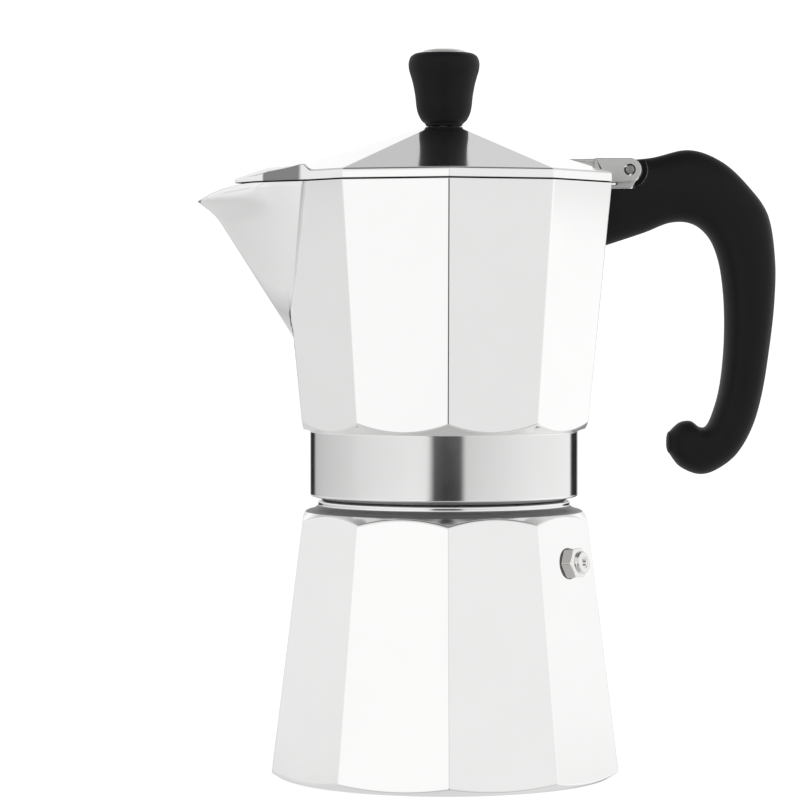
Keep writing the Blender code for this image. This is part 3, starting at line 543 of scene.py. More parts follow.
def cut_away(piece, bm):
    """Apply a Boolean difference of a helper shape to a piece."""
    mesh = bpy.data.meshes.new("cutter")
    bmesh.ops.recalc_face_normals(bm, faces=bm.faces)
    bm.to_mesh(mesh)
    bm.free()
    cutter = bpy.data.objects.new("cutter", mesh)
    bpy.context.scene.collection.objects.link(cutter)
    modifier = piece.modifiers.new("cut", "BOOLEAN")
    modifier.operation = "DIFFERENCE"
    modifier.solver = "EXACT"
    modifier.object = cutter
    graph = bpy.context.evaluated_depsgraph_get()
    cut = bpy.data.meshes.new_from_object(piece.evaluated_get(graph))
    cut.name = piece.name
    piece.modifiers.clear()
    piece.data = cut
    bpy.data.objects.remove(cutter)
    bpy.data.meshes.remove(mesh)
    cut.shade_smooth()
    cut.set_sharp_from_angle(angle=math.radians(32))


def drill(piece, place, radius, depth, sides):
    """Cut a round hole along the Z axis of a placing."""
    bm = bmesh.new()
    bmesh.ops.create_cone(bm, cap_ends=True, segments=sides, radius1=radius, radius2=radius,
                          depth=depth, matrix=place)
    cut_away(piece, bm)


def make_valve():
    """The boiler's hole, and the hexagon with its threaded stem and domed, open nose."""
    place = valve_frame()
    drill(boiler_casting, place, 3.5 * MM, 16 * MM, 48)
    columns = 144
    angles = np.arange(columns) * math.tau / columns
    flat = math.cos(math.pi / 6) / np.cos(angles % (math.pi / 3) - math.pi / 6)
    hexagon = 4.8 * MM * flat
    chamfer, chamfer_slope = 4.55 * MM, 0.6

    def bevelled(height, drop):
        """Corners of the hexagon cut by a shallow turned cone."""
        over = np.maximum(hexagon - chamfer, 0)
        return corner_row(angles, hexagon, height * MM + drop * over * chamfer_slope)

    at = corners_on(angles)
    stem = [at(1.0, -9.0), at(2.9, -9.0), at(3.2, -8.7), at(3.2, -8.5)]
    head = [at(3.2, 0.4), at(3.2, 0.9), at(4.0, 0.9), bevelled(1.0, 1), bevelled(4.0, -1),
            at(3.95, 4.15), at(3.6, 4.15), at(2.1, 4.15), at(2.1, -8.1), at(1.0, -8.1),
            at(1.0, -9.0)]
    radii = np.array([0.1, 0.1, 0.15, 0.12, 0.12, 0.2, 0.1, 0.1, 0.1]) * MM
    rows = [rounded(stem, np.array([0.2, 0.1]) * MM, 3),
            thread_rows(angles, 2.95 * MM, 3.2 * MM, -8.4 * MM, 0.2 * MM),
            rounded(head, radii, 3)]
    grid = placed(turn_rows(np.concatenate(rows), angles), place)
    hexagon_piece = skin("valve_hexagon", grid, nickel, "boiler_body", "plated_steel",
                         "valve_body")
    nose = [(1.1, 4.6), (1.1, 3.2), (1.75, 3.2), (1.75, 4.4), (3.35, 4.4), (3.4, 5.1),
            (3.0, 5.9), (1.75, 5.95), (1.5, 5.7), (1.1, 5.7), (1.1, 4.6)]
    radii = [0.1, 0.1, 0.1, 0.2, 0.3, 0.6, 0.15, 0.1, 0.1]
    nose_piece = turned_piece("valve_nose", nose, radii, nickel, "boiler_body", "plated_steel",
                              "valve_cap", place=place)
    inner = [frame["nodes"][node] for node in ("valve_washer", "valve_plunger", "valve_seal")]
    for piece in [hexagon_piece, nose_piece] + inner:
        piece.visible_glossy = False


def make_spring():
    """A round wire carried along a helix of six turns.

    A point is ((coil + wire cos b) cos a, (coil + wire cos b) sin a, rise + wire sin b).
    """
    turns, coil, wire, sides = 6, 1.45 * MM, 0.2 * MM, 10
    low, high, lift = -5.0 * MM, 2.8 * MM, 1.0 * MM
    share = np.linspace(0, 1, turns * 24 + 1)[:, None]
    along = math.tau * turns * share
    around = np.arange(sides) * math.tau / sides
    reach = coil + wire * np.cos(around)
    rise = low + (high - low) * share + wire * np.sin(around)
    grid = np.stack((reach * np.cos(along), reach * np.sin(along), rise), axis=-1)
    turn = np.array(valve_frame())
    points = placed(grid, turn).reshape(-1, 3)
    faces = grid_faces(len(share), sides)
    faces += [list(range(sides)), list(range(len(points) - sides, len(points)))]
    spring = make_piece("valve_coil", points.tolist(), faces, nickel, "boiler_body",
                        "plated_steel", "valve_spring")
    spring.visible_glossy = False
    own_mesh(spring)


def dress(node, material):
    """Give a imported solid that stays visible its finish."""
    piece = frame["nodes"][node]
    piece.data.materials.clear()
    piece.data.materials.append(material)


make_valve()
make_spring()
dress("valve_washer", fibre)
dress("valve_plunger", nickel)


# ------------------------------------------------------------------ funnel
# The basket and stem are spun from one aluminium blank and keep fine turning lines.
# A pierced plate is pressed into the bottom of the basket.

spun = metal("spun_aluminium", (0.86, 0.86, 0.85), 0.24, 0.10,
             grain=(0.4, 0.002), wave=0.004, lines=(0.22, 0.006))


def pierce(piece, spots, radius, low, high):
    """Cut small round holes through a flat plate."""
    bm = bmesh.new()
    for x, y in spots:
        bmesh.ops.create_cone(bm, cap_ends=True, segments=10, radius1=radius, radius2=radius,
                              depth=high - low,
                              matrix=Matrix.Translation((x, y, (low + high) / 2)))
    cut_away(piece, bm)


def hex_spots(spacing, reach):
    """Centres of a triangular lattice inside a circle."""
    count = int(reach / spacing) + 2
    i, j = np.meshgrid(np.arange(-count, count + 1), np.arange(-count, count + 1))
    x = spacing * (i + 0.5 * (j % 2))
    y = spacing * math.sqrt(0.75) * j
    keep = np.hypot(x, y) < reach
    return np.column_stack((x[keep], y[keep])).tolist()


def make_funnel():
    """Basket with a curled rim, cone and stem as one thin turned shell, and its plate."""
    low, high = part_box("funnel")
    stem, rim = low.z / MM, high.z / MM
    shell = [(5.15, stem), (5.6, stem), (5.6, 61.5), (12.0, 66.5), (28.6, 70.4), (30.2, 72.0),
             (30.2, rim - 1.0), (32.6, rim - 1.0), (33.0, rim - 0.5), (32.6, rim),
             (29.7, rim), (29.3, rim - 0.4), (29.3, 72.4), (27.8, 71.4), (11.4, 67.4),
             (4.7, 62.0), (4.7, stem), (5.15, stem)]
    radii = [0.2, 3, 3, 1.5, 2, 0.5, 0.3, 0.4, 0.3, 0.4, 0.3, 1.5, 1.5, 3, 3, 0.2]
    turned_piece("funnel_shell", shell, radii, spun, "funnel_body", "spun_aluminium", "funnel",
                 columns=120)
    low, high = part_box("funnel_plate")
    disc = [(0, low.z / MM), (high.x / MM, low.z / MM), (high.x / MM, high.z / MM),
            (0, high.z / MM)]
    plate = turned_piece("funnel_sieve", disc, [0.2, 0.2], spun, "funnel_body",
                         "spun_aluminium", "funnel_plate", columns=96)
    pierce(plate, hex_spots(3.6 * MM, 25 * MM), 0.65 * MM, low.z - MM, high.z + MM)


make_funnel()


# ------------------------------------------------------------------ gasket and filter plate
# A white silicone ring seals the joint, and a dished, finely pierced plate sits inside it.
# Both lie under the collector's floor.

def matt(name, colour, roughness, grain_size, grain_depth):
    """A dull moulded surface: plain colour with slow shade changes and a fine bump."""
    sizes = (grain_size, grain_depth, 0.0, 1.0, 0.0)
    material, tree, shader, patches = start_material(name, sizes)
    dark, pale = (tuple(min(1.0, c * share) for c in colour) for share in (0.8, 1.2))
    link(tree, add_mix(tree, patches, dark, pale), shader.inputs["Base Color"])
    rough = add_range(tree, patches, 0.0, 1.0, roughness - 0.06, roughness + 0.06)
    link(tree, rough, shader.inputs["Roughness"])
    return material


silicone = matt("white_silicone", (0.80, 0.80, 0.76), 0.55, 0.5, 0.01)
red_silicone = matt("red_silicone", (0.55, 0.10, 0.06), 0.55, 0.5, 0.01)
dress("valve_seal", red_silicone)


def make_seal_stack():
    """A ring with rounded edges and a sealing bead, and the dished plate with its holes."""
    low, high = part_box("gasket")
    outer, bottom, top = high.x / MM, low.z / MM, high.z / MM
    ring = [(30, bottom), (outer, bottom), (outer, top), (28.9, top), (28.6, top - 0.5),
            (27.6, top - 0.5), (27.6, bottom), (30, bottom)]
    turned_piece("gasket_ring", ring, [0.7, 0.7, 0.3, 0.2, 0.4, 0.7], silicone, "gasket_body",
                 "silicone", "gasket", columns=120)
    low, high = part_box("filter_plate")
    edge, face, top = high.x / MM, low.z / MM, high.z / MM
    dish = [(0, face), (24.0, face), (25.6, top - 0.8), (edge, top - 0.8), (edge, top),
            (25.2, top), (23.6, face + 0.8), (0, face + 0.8)]
    plate = turned_piece("filter_sieve", dish, [0.6, 0.6, 0.2, 0.2, 0.6, 0.6], spun,
                         "filter_body", "spun_aluminium", "filter_plate", columns=96)
    pierce(plate, hex_spots(3.0 * MM, 22 * MM), 0.5 * MM, face * MM - MM, face * MM + 2 * MM)


make_seal_stack()


# ------------------------------------------------------------------ collector
# The upper jug is one polished casting: a turned collar, a floor, ten facets and a V spout.
# The spout's two sides meet in a soft keel that curls outwards to a small pouring lip.

KEEL_LOW_Z, KEEL_LOW_X, KEEL_RISE = 131.5 * MM, 46 * MM, 0.637
SEAM_LOW, SEAM_TURN = 17.0, 0.373
SEAM_COLUMN, INNER_CORNER, OUTER_CORNER = 19, 18, 54
EDGE_SOFTNESS = 0.034


def smooth_max(a, b, soft):
    """The larger of two values, with the crossing rounded over a soft distance."""
    return 0.5 * (a + b + np.sqrt((a - b) ** 2 + soft ** 2))


def seam_angle(z):
    """Bearing from the keel at which the spout's side meets the facets, at a height."""
    return np.radians(SEAM_LOW + SEAM_TURN * (z - KEEL_LOW_Z) / MM)


def follow_seam(angles, z):
    """Columns drawn round so that the one at 19 degrees from the keel stays on the seam.

    The share of each column between 18 and 19 degrees, and between 19 and 54, is kept.
    """
    turn = (angles % math.tau) - math.pi
    side = np.degrees(np.abs(turn))
    seam = np.clip(np.degrees(seam_angle(z)), SEAM_COLUMN, 40)
    inside = INNER_CORNER + (side - INNER_CORNER) * (seam - INNER_CORNER)
    share = (side - SEAM_COLUMN) / (OUTER_CORNER - SEAM_COLUMN)
    drawn = np.where(side < SEAM_COLUMN, inside, seam + share * (OUTER_CORNER - seam))
    drawn = np.where((side < INNER_CORNER) | (side > OUTER_CORNER), side, drawn)
    return math.pi + np.sign(turn) * np.radians(drawn)


def spout_radius(angles, z):
    """Radius of two sides that meet in the keel: keel(z) / (cos + slope(z) * |sin|).

    The keel leans out by 0.637 for each unit of height, and its last 6 mm curl out by 3.2 mm
    more.  The slope brings each side to the facets on a seam that starts 17 degrees from the
    keel and turns 0.373 degrees further for each mm.  Past the seam the radius falls away.
    """
    side = np.abs((angles % math.tau) - math.pi)
    across = np.sqrt(np.sin(side) ** 2 + 0.02 ** 2) - 0.02
    rise = z - KEEL_LOW_Z
    seam = seam_angle(z)
    reach = (46.51 * MM + 0.0994 * rise) * facet_share(math.pi + seam, 0.01)
    keel = KEEL_LOW_X + KEEL_RISE * rise
    slope = np.maximum((keel - reach * np.cos(seam)) / (reach * np.sin(seam)), 0.1)
    curl = np.clip((z - 162.5 * MM) / (6 * MM), 0, 1)
    keel = keel + 3.2 * MM * curl * curl * np.clip(1 - side / math.radians(20), 0, 1)
    radius = np.minimum(keel, 72.7 * MM) / (np.cos(side) + slope * across)
    return np.where(side < seam, radius, reach * (1 - 0.9 * (side - seam)))


def rim_height(x, rim):
    """The rim is level and then falls in a growing curve to the lip's tip."""
    t = np.clip((-x - 54 * MM) / (18.9 * MM), 0, 1)
    return rim - 5.0 * MM * t ** 2.2


def make_collector():
    """The whole jug as one closed surface, walked from the floor's hole out, up and back in."""
    rim, rim_z, foot_z, foot = 50.7 * MM, 173.6 * MM, 104.2 * MM, 43.8 * MM
    wall, base = 2.8 * MM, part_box("collector")[0].z / MM
    near_seam = np.array([0.3, 18.25, 18.5, 18.75, 18.9, 18.97, 19, 19.1, 19.4])
    extra = np.radians(np.concatenate((np.arange(-56, 56.1, 1.0), near_seam, -near_seam)))
    angles = np.concatenate((facet_angles(26), math.pi + extra))
    angles = np.sort((angles + math.pi / 2) % math.tau - math.pi / 2)
    angles = angles[np.append(np.diff(angles) > 1e-4, True)]
    share = facet_share(angles, EDGE_SOFTNESS)
    taper = (rim - foot) / (rim_z - foot_z)
    at = corners_on(angles)

    def outer(z):
        bearings = follow_seam(angles, z)
        body = facet_share(bearings, EDGE_SOFTNESS) * (foot + taper * (z - foot_z))
        return smooth_max(body, spout_radius(bearings, z), 0.25 * MM)

    def inner(z):
        bearings = follow_seam(angles, z)
        body = facet_share(bearings, 0.06) * (foot + taper * (z - foot_z)) - wall
        return smooth_max(body, spout_radius(bearings, z) - 0.9 * wall, 1.6 * MM)

    def between(start, stop, count, radius_at):
        """Rows between two height curves, on the surface that radius_at gives."""
        rows = []
        for t in np.linspace(0, 1, count):
            z = start + (stop - start) * t
            rows.append(np.stack((radius_at(z), z), axis=-1))
        return np.array(rows)

    cone, cone_r, cone_z = 0.93, 41.66 * MM, 101.9 * MM
    meet_z = (cone_r - cone * cone_z - share * (foot - taper * foot_z)) / (share * taper - cone)
    crease = corner_row(angles, cone_r + cone * (meet_z - cone_z), meet_z)
    start_z = meet_z + 1.2 * MM
    first = np.stack((share * (foot + taper * (start_z - foot_z)), start_z), axis=-1)
    collar = [at(35.9, base + 1.0), at(35.9, base + 0.5), at(36.4, base), at(39.0, base),
              at(39.4, base + 0.5), at(39.4, 101.2), at(40.3, 101.6), crease, first]
    radii = [0.2, 0.3, 0.3, 0.3, 0.3, 0.3, 0.6]
    hole = [at(6.0, 100), at(6.0, 98.7), at(35.9, 98.7), at(35.9, 97.5)]
    rows = [rounded(hole, np.array([0.2, 0.8]) * MM)]
    thread = thread_rows(angles, 35.9 * MM, 34.9 * MM, 85.5 * MM, 96.5 * MM, 0.5)
    rows.append(thread[::-1])
    rows.append(rounded(collar, np.array(radii) * MM))
    top_out = rim_height(outer(rim_z) * np.cos(angles), rim_z)
    rows.append(between(start_z + 0.6 * MM, top_out - 1.4 * MM, 46, outer))
    edge = 2.1 * MM
    top_r = outer(top_out)
    soft = 0.2 * MM + 0.7 * MM * np.clip((rim_z - top_out[:, None]) / (4 * MM), 0, 1)
    below, inside = top_out - 1.2 * MM, top_out - 1.0 * MM
    lip = [np.stack((outer(below), below), -1),
           np.stack((top_r, top_out), -1),
           np.stack((top_r - edge, top_out), -1),
           np.stack((np.minimum(inner(inside), top_r - edge), inside), -1)]
    rows.append(rounded(lip, (soft, soft), 4))
    rows.append(between(top_out - 1.2 * MM, np.full_like(angles, 110 * MM), 26,
                        lambda z: np.minimum(inner(z), outer(z) - 0.8 * MM)))
    wall_foot = np.full_like(angles, 109 * MM)
    floor = [np.stack((inner(wall_foot), wall_foot), -1), at(38.6, 104), at(35.5, 102),
             at(6, 102), at(6, 100)]
    rows.append(rounded(floor, np.array([2, 2, 0.3]) * MM))
    rows = np.concatenate(rows)
    # Painted shade: points inside the outer surface, the jug's inner wall and rim, are left rough
    # from the mould and darkened.
    depth = (outer(rows[..., 1]) - rows[..., 0]) / (0.5 * MM)
    cast_and_shade = np.clip(depth, 0, 1) * (rows[..., 1] > start_z)
    bearings = follow_seam(angles, rows[..., 1])
    skin("collector_casting", turn_rows(rows, bearings), polished, "collector_body",
         "polished_aluminium", "collector", loop=True, cast_and_shade=cast_and_shade)
    return angles


collector_angles = make_collector()


# ------------------------------------------------------------------ hinge eye and handle lug
# Two small blocks are cast on the collector under the lid's hinge, one to carry the pin.
# The other runs into the handle and takes its screw.

def arc_points(x, z, radius, start, stop, steps):
    """Points on an arc in the XZ plane; angles in degrees from +X."""
    turn = np.radians(np.linspace(start, stop, steps + 1))
    return np.column_stack((x + radius * np.cos(turn), z + radius * np.sin(turn)))


def even_outline(points, spacing):
    """A closed outline sampled again at even steps along its length."""
    closed = np.vstack((points, points[:1]))
    length = np.concatenate(([0], np.cumsum(np.linalg.norm(np.diff(closed, axis=0), axis=1))))
    count = max(24, int(length[-1] / spacing))
    at = np.linspace(0, length[-1], count, endpoint=False)
    return np.column_stack([np.interp(at, length, closed[:, k]) for k in (0, 1)])


def plate_piece(name, outline, low_y, high_y, edge, material, body, slot):
    """A flat piece cut to an XZ outline in mm, with its long edges rounded.

    Each ring of the surface is the outline moved inwards along its own normal; the inset
    follows edge * (1 - sin) while Y follows edge * (1 - cos) over each rounded edge.
    """
    outline = even_outline(np.array(outline, float) * MM, 0.35 * MM)
    ahead = np.roll(outline, -1, axis=0) - np.roll(outline, 1, axis=0)
    normal = np.column_stack((ahead[:, 1], -ahead[:, 0]))
    normal /= np.linalg.norm(normal, axis=1, keepdims=True)
    area = np.sum(outline[:, 0] * np.roll(outline[:, 1], -1)
                  - np.roll(outline[:, 0], -1) * outline[:, 1])
    inwards = -normal * np.sign(area)
    turns = np.linspace(0, math.pi / 2, 6)
    insets = np.concatenate((edge * (1 - np.sin(turns)), edge * (1 - np.sin(turns[::-1]))))
    levels = np.concatenate((low_y + edge * (1 - np.cos(turns)),
                             high_y - edge * (1 - np.cos(turns[::-1]))))
    rings = [np.column_stack((p[:, 0], np.full(len(p), y), p[:, 1]))
             for p, y in ((outline + inwards * i * MM, level * MM)
                          for i, level in zip(insets, levels))]
    count = len(outline)
    faces = grid_faces(len(rings), count)
    faces += [list(range(count)), list(range(count * (len(rings) - 1), count * len(rings)))]
    piece = make_piece(name, np.concatenate(rings).tolist(), faces, material, body, slot)
    piece.data.set_sharp_from_angle(angle=math.radians(40))
    return piece


lid_joint = next(j for j in frame["joints"] if j["name"] == "lid_hinge")
HINGE_X = lid_joint["pos_m"][0] / MM
HINGE_Z = lid_joint["pos_m"][2] / MM
HINGE_PLACE = Matrix.Translation((HINGE_X * MM, 0, HINGE_Z * MM)) \
    @ Matrix.Rotation(math.radians(90), 4, "X")
EYE_R = 3.4

tumbled = metal("tumbled_aluminium", (0.72, 0.72, 0.71), 0.42, 0.12, grain=(0.45, 0.02),
                wave=0.02)


def drill_pin_hole(piece):
    """A hole for the hinge pin, 0.4 mm clear all round."""
    drill(piece, HINGE_PLACE, 1.7 * MM, 20 * MM, 40)


def make_collector_lugs():
    """The eye round the pin with its strap to the rim, and the block inside the handle."""
    eye = np.vstack(([(46.6, 172.6), (55.0, 172.6)],
                     arc_points(HINGE_X, HINGE_Z, EYE_R, -40, 170, 24),
                     [(50.7, 173.5), (46.6, 173.5)]))
    drill_pin_hole(plate_piece("hinge_eye", eye, -3.3, 3.3, 0.35, tumbled, "collector_body",
                               "polished_aluminium"))
    lug = [(46.2, 164.0), (61.0, 164.0), (61.0, 170.0), (46.8, 170.0)]
    plate_piece("handle_lug", lug, -4.0, 4.0, 0.5, polished, "collector_body",
                "polished_aluminium")
    rivet = [(0, -6.75), (1.0, -6.75), (1.3, -6.5), (1.3, 6.5), (1.0, 6.75), (0, 6.75)]
    pin_steel = metal("pin_steel", (0.36, 0.36, 0.35), 0.3, 0.1, grain=(0.3, 0.004))
    turned_piece("hinge_rivet", rivet, [0.25, 0.2, 0.2, 0.25], pin_steel, "collector_body",
                 "plated_steel", "hinge_pin", columns=40, place=HINGE_PLACE)


make_collector_lugs()


# ------------------------------------------------------------------ column
# The coffee rises through a tube pressed into the collector's floor.
# It is turned in aluminium, closed on top, with two slots near the top.

def make_column():
    """Tapering tube with a foot flange, and its two side slots."""
    low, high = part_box("column")
    top, foot = high.z / MM, low.z / MM
    tube = [(0, top), (3.0, top), (5.0, top - 0.8), (6.2, top - 3), (8.6, 108), (9.5, 104.0),
            (9.5, 102.3), (5.7, 102.3), (5.7, foot), (4.2, foot), (3.4, top - 4), (0, top - 2.5)]
    radii = [0.6, 0.8, 1.0, 6, 0.8, 0.2, 0.2, 0.2, 0.2, 0.6]
    column = turned_piece("column_tube", tube, radii, spun, "collector_body",
                          "spun_aluminium", "column")
    bm = bmesh.new()
    slot_size = (3.2 * MM, 18 * MM, 6 * MM, 1)
    slot = Matrix.Translation((0, 0, (top - 8) * MM)) @ Matrix.Diagonal(slot_size)
    bmesh.ops.create_cube(bm, size=1, matrix=slot)
    cut_away(column, bm)


make_column()


# ------------------------------------------------------------------ handle
# The handle is moulded in black phenolic with a fine matt grain, and ends in a rounded hook.
# Its root closes over the lug and the screw that holds it, with a recess for the hinge.

phenolic = matt("black_phenolic", (0.008, 0.008, 0.009), 0.46, 0.45, 0.03)
phenolic.node_tree.nodes["Principled BSDF"].inputs["Specular IOR Level"].default_value = 0.12

# Outer edge, inner edge (X and Z in mm) and half width along the handle.
HANDLE_STATIONS = np.array([
    (45.6, 180.4, 45.0, 154.9, 7.4), (60.2, 181.4, 58.4, 159.3, 7.7),
    (72.0, 183.8, 66.6, 162.4, 8.2), (81.9, 180.2, 73.2, 162.0, 8.7),
    (90.0, 172.6, 78.0, 158.0, 9.1), (95.4, 164.4, 80.8, 151.4, 9.4),
    (97.4, 151.6, 82.2, 143.0, 9.5), (97.2, 139.0, 82.7, 133.8, 9.5),
    (95.8, 126.0, 82.4, 123.6, 9.4), (93.7, 112.6, 81.2, 113.6, 9.1),
    (90.9, 102.6, 79.2, 106.4, 8.7), (86.4, 94.6, 77.3, 102.6, 8.3),
    (80.6, 89.9, 75.2, 102.4, 8.0), (75.2, 88.4, 72.6, 104.1, 7.8),
    (69.6, 90.6, 69.4, 103.6, 6.9), (66.4, 94.6, 66.5, 101.0, 4.0)])


def spline(points, count):
    """Catmull-Rom values along a list of rows, count steps for each span."""
    padded = np.vstack((points[:1], points, points[-1:]))
    t = np.linspace(0, 1, count, endpoint=False)[:, None]
    rows = []
    for a, b, c, d in zip(padded, padded[1:], padded[2:], padded[3:]):
        rows.append(0.5 * (2 * b + (c - a) * t + (2 * a - 5 * b + 4 * c - d) * t ** 2
                           + (3 * b - a - 3 * c + d) * t ** 3))
    return np.vstack(rows + [points[-1:]])


def xz_prism(outline, low_y, high_y):
    """A straight helper shape of an XZ outline in mm."""
    bm = bmesh.new()
    face = bm.faces.new([bm.verts.new((x * MM, low_y * MM, z * MM)) for x, z in outline])
    grown = bmesh.ops.extrude_face_region(bm, geom=[face])
    moved = [v for v in grown["geom"] if isinstance(v, bmesh.types.BMVert)]
    bmesh.ops.translate(bm, verts=moved, vec=(0, (high_y - low_y) * MM, 0))
    return bm


def make_handle():
    """Superellipse sections (power 2.5) between the two edges, closed by a rounded end."""
    stations = spline(HANDLE_STATIONS, 9) * MM
    angles = np.arange(56) * math.tau / 56
    power = 2 / 2.5
    along = np.sign(np.cos(angles)) * np.abs(np.cos(angles)) ** power
    across = np.sign(np.sin(angles)) * np.abs(np.sin(angles)) ** power
    outer, inner, half = stations[:, 0:2], stations[:, 2:4], stations[:, 4]
    centre, reach = (outer + inner) / 2, (outer - inner) / 2
    end = np.linspace(0, 1, 7)[1:]
    tip = np.array([centre[-1] + (centre[-1] - centre[-2]) / np.linalg.norm(
        centre[-1] - centre[-2]) * 0.9 * MM * t for t in end])
    shrink = np.sqrt(1 - end ** 2)
    centre = np.vstack((centre[:1], centre, tip))
    reach = np.vstack((reach[:1] * 0, reach, reach[-1] * shrink[:, None]))
    half = np.concatenate(([0], half, half[-1] * shrink))
    grid = np.stack((centre[:, None, 0] + reach[:, None, 0] * along,
                     half[:, None] * across,
                     centre[:, None, 1] + reach[:, None, 1] * along), axis=-1)
    handle = skin("handle_moulding", grid, phenolic, "collector_body", "black_plastic", "handle")
    handle.visible_glossy = False
    facet = math.cos(HALF_FACET)
    root = [(40, 150), (48.36 * facet + 0.4, 150), (51.83 * facet + 0.4, 185), (40, 185)]
    notch = np.vstack(([(40, 172.2), (55.6, 172.2)],
                       arc_points(HINGE_X, HINGE_Z, EYE_R + 0.5, -62, 62, 20),
                       [(56.1, 186), (40, 186)]))
    recess = np.vstack(([(40, 172.2), (55.4, 172.2)],
                        arc_points(HINGE_X, HINGE_Z, EYE_R + 1.9, -76, 25, 20),
                        [(59.0, 186), (40, 186)]))
    pocket = [(40, 163.6), (61.4, 163.6), (61.4, 170.4), (40, 170.4)]
    for outline, low_y, high_y in ((root, -20, 20), (notch, -20, 20), (recess, -20, -3.2),
                                   (recess, 3.2, 20), (pocket, -4.4, 4.4)):
        cut_away(handle, xz_prism(outline, low_y, high_y))


make_handle()
blackened = metal("blackened_steel", (0.05, 0.05, 0.05), 0.35, 0.1, grain=(0.3, 0.004))
dress("handle_screw", blackened)


# ------------------------------------------------------------------ lid
# The lid is a thin polished casting: ten low facets, a straight band and a cover for the spout.
# A tongue and two ears at the back take the hinge pin.

LID_LOW, LID_BAND, LID_TOP = 174.0, 176.6, 190.4
SPOUT_SIDE = 1.2325


def lid_outline(angles):
    """Plan radius: the ten sides, drawn out along the spout to a blunt nose."""
    side = np.abs((angles % math.tau) - math.pi)
    across, along = np.abs(np.sin(side)), np.cos(side)
    across_soft = np.sqrt(across ** 2 + 0.03 ** 2) - 0.03
    with np.errstate(divide="ignore"):
        edge = 72.3 / (along + SPOUT_SIDE * across)
        nose = 61.5 / (along + 0.516 * across_soft)
    beak = -smooth_max(-edge, -nose, 1.2)
    body = 50.7 * facet_share(angles)
    beak = np.where(side < math.radians(60), beak, 0.0)
    return smooth_max(body, beak, 0.4) * MM


def lid_height(angles, radius):
    """Ten facets at 18 degrees; over the spout a low roof whose ridge dips to the nose."""
    x, y = radius * np.cos(angles), radius * np.sin(angles)
    facet = math.cos(HALF_FACET)
    reach = radius / facet_share(angles, 0.03) * facet
    rim = 50.7 * MM * facet
    slope = (LID_TOP - LID_BAND) * MM / (rim - 6 * MM)
    pyramid = np.minimum(LID_TOP * MM, LID_BAND * MM + (rim - reach) * slope)
    ridge = np.interp(-x / MM, (30, 39.5, 51.6, 61.7), (181.2, 179.4, 178.6, 175.2)) * MM
    roof = ridge - np.interp(-x / MM, (41.3, 52.8), (0.02, 0.12)) * np.abs(y)
    roof = roof - 1.2 * np.maximum(41.0 * MM + x, 0)
    return np.maximum(pyramid, roof)


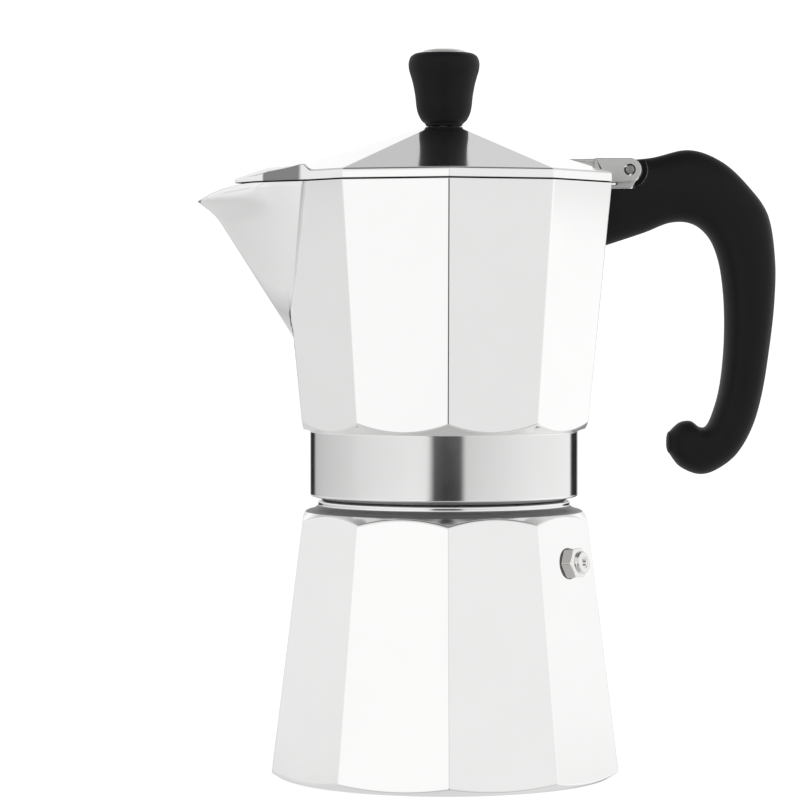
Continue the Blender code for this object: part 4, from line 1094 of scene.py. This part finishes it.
def make_lid():
    """Outside from the knob's hole to the band, and back along the inside of the wall."""
    angles = collector_angles
    outline = lid_outline(angles)
    wall = 1.8 * MM

    def at_share(share, drop):
        radius = outline * share
        height = np.maximum(lid_height(angles, radius) - drop, (LID_LOW + 0.6) * MM)
        return np.stack((radius, height), -1)

    at = corners_on(angles)
    shares = np.concatenate((np.linspace(0.16, 0.6, 16), np.linspace(0.62, 0.96, 40)))
    rows = [rounded([at(2.3, LID_TOP - 0.9), at(2.3, LID_TOP), at(6.0, LID_TOP),
                     at_share(0.15, 0.0)], np.array([0.3, 1.0]) * MM)]
    rows.append(np.array([at_share(s, 0.0) for s in shares]))
    top = lid_height(angles, outline * 0.998)
    band = [at_share(0.965, 0.0), np.stack((outline, top), -1),
            corner_row(angles, outline, LID_LOW * MM),
            corner_row(angles, outline - wall, LID_LOW * MM),
            corner_row(angles, outline - wall, (LID_LOW + 0.8) * MM)]
    rows.append(rounded(band, np.array([0.8, 0.15, 0.3]) * MM, 6))
    rows.append(np.array([at_share(s, wall) for s in shares[::-2]]))
    rows.append(rounded([at(6.0, LID_TOP - 1.8), at(2.3, LID_TOP - 1.8), at(2.3, LID_TOP - 0.9)],
                        np.array([0.3]) * MM))
    rows = np.concatenate(rows)
    radius, height = rows[..., 0], rows[..., 1]
    # Painted shade: points under the outer surface, the underside and inner wall, are left rough
    # from the mould and darkened.
    under = lid_height(angles, radius) - height
    depth = np.minimum(outline - radius, under)
    side = np.degrees(np.abs((angles % math.tau) - math.pi))
    # Painted shade: a dark wedge on the band wall along each side of the spout cover, 15.5 to 33
    # degrees from the keel.
    spout_wall_shade = np.clip((side - 15.5) / 1.5, 0, 1) * np.clip((33 - side) / 4, 0, 1)
    spout_wall_shade = 0.75 * spout_wall_shade * (under > 0.25 * MM)
    cast_and_shade = np.maximum(np.clip(depth / (0.4 * MM), 0, 1), spout_wall_shade)
    skin("lid_casting", turn_rows(rows, angles), polished, "lid_body", "polished_aluminium",
         "lid", loop=True, cast_and_shade=cast_and_shade)
    tongue = [(36.0, 180.95), (36.4, 179.6), (47.0, 175.7), (49.6, 175.7), (49.6, 181.1)]
    plate_piece("lid_tongue", tongue, -4.4, 4.4, 0.3, tumbled, "lid_body",
                "polished_aluminium")
    ear = np.vstack(([(46.8, LID_LOW + 0.1), (51.6, LID_LOW + 0.25)],
                     arc_points(HINGE_X, HINGE_Z, EYE_R, -100, 90, 28),
                     [(44.0, HINGE_Z + EYE_R), (43.6, 177.3), (46.8, 176.0)]))
    for name, low_y, high_y in (("lid_ear_front", -6.2, -3.6), ("lid_ear_back", 3.6, 6.2)):
        drill_pin_hole(plate_piece(name, ear, low_y, high_y, 0.35, tumbled, "lid_body",
                                   "polished_aluminium"))


make_lid()


# ------------------------------------------------------------------ knob
# The knob is moulded in the same black as the handle, waisted, and wider at the top.
# A bright disc is let into its top, and a screw holds it from under the lid.

def make_knob():
    """One turned profile for the moulding and one for the disc."""
    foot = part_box("knob")[0].z / MM
    side = [(0, 211.2), (7.0, 211.2), (7.05, 212.15), (8.4, 212.1), (9.9, 211.2), (10.5, 209.3),
            (10.35, 207.3), (9.2, 203.6), (8.45, 199.6), (8.2, 196.6), (7.7, 194.3),
            (6.6, 192.3), (5.5, 191.4), (5.3, foot), (2.3, foot), (2.3, 203.6), (0, 204.2)]
    radii = [0.3, 0.25, 0.8, 1.2, 1.2, 1.6, 2, 2, 1.6, 1.2, 0.8, 0.5, 0.3, 0.2, 0.2]
    turned_piece("knob_moulding", side, radii, phenolic, "lid_body", "black_plastic", "knob",
                 columns=96)
    disc = [(0, 211.5), (6.8, 211.5), (6.8, 212.5), (5.6, 213.05), (3.0, 213.5), (0, 213.6)]
    turned_piece("knob_disc", disc, [0.2, 0.4, 1.5, 2.0], nickel, "lid_body", "plated_steel",
                 "knob_cap")


make_knob()
dress("knob_screw", nickel)
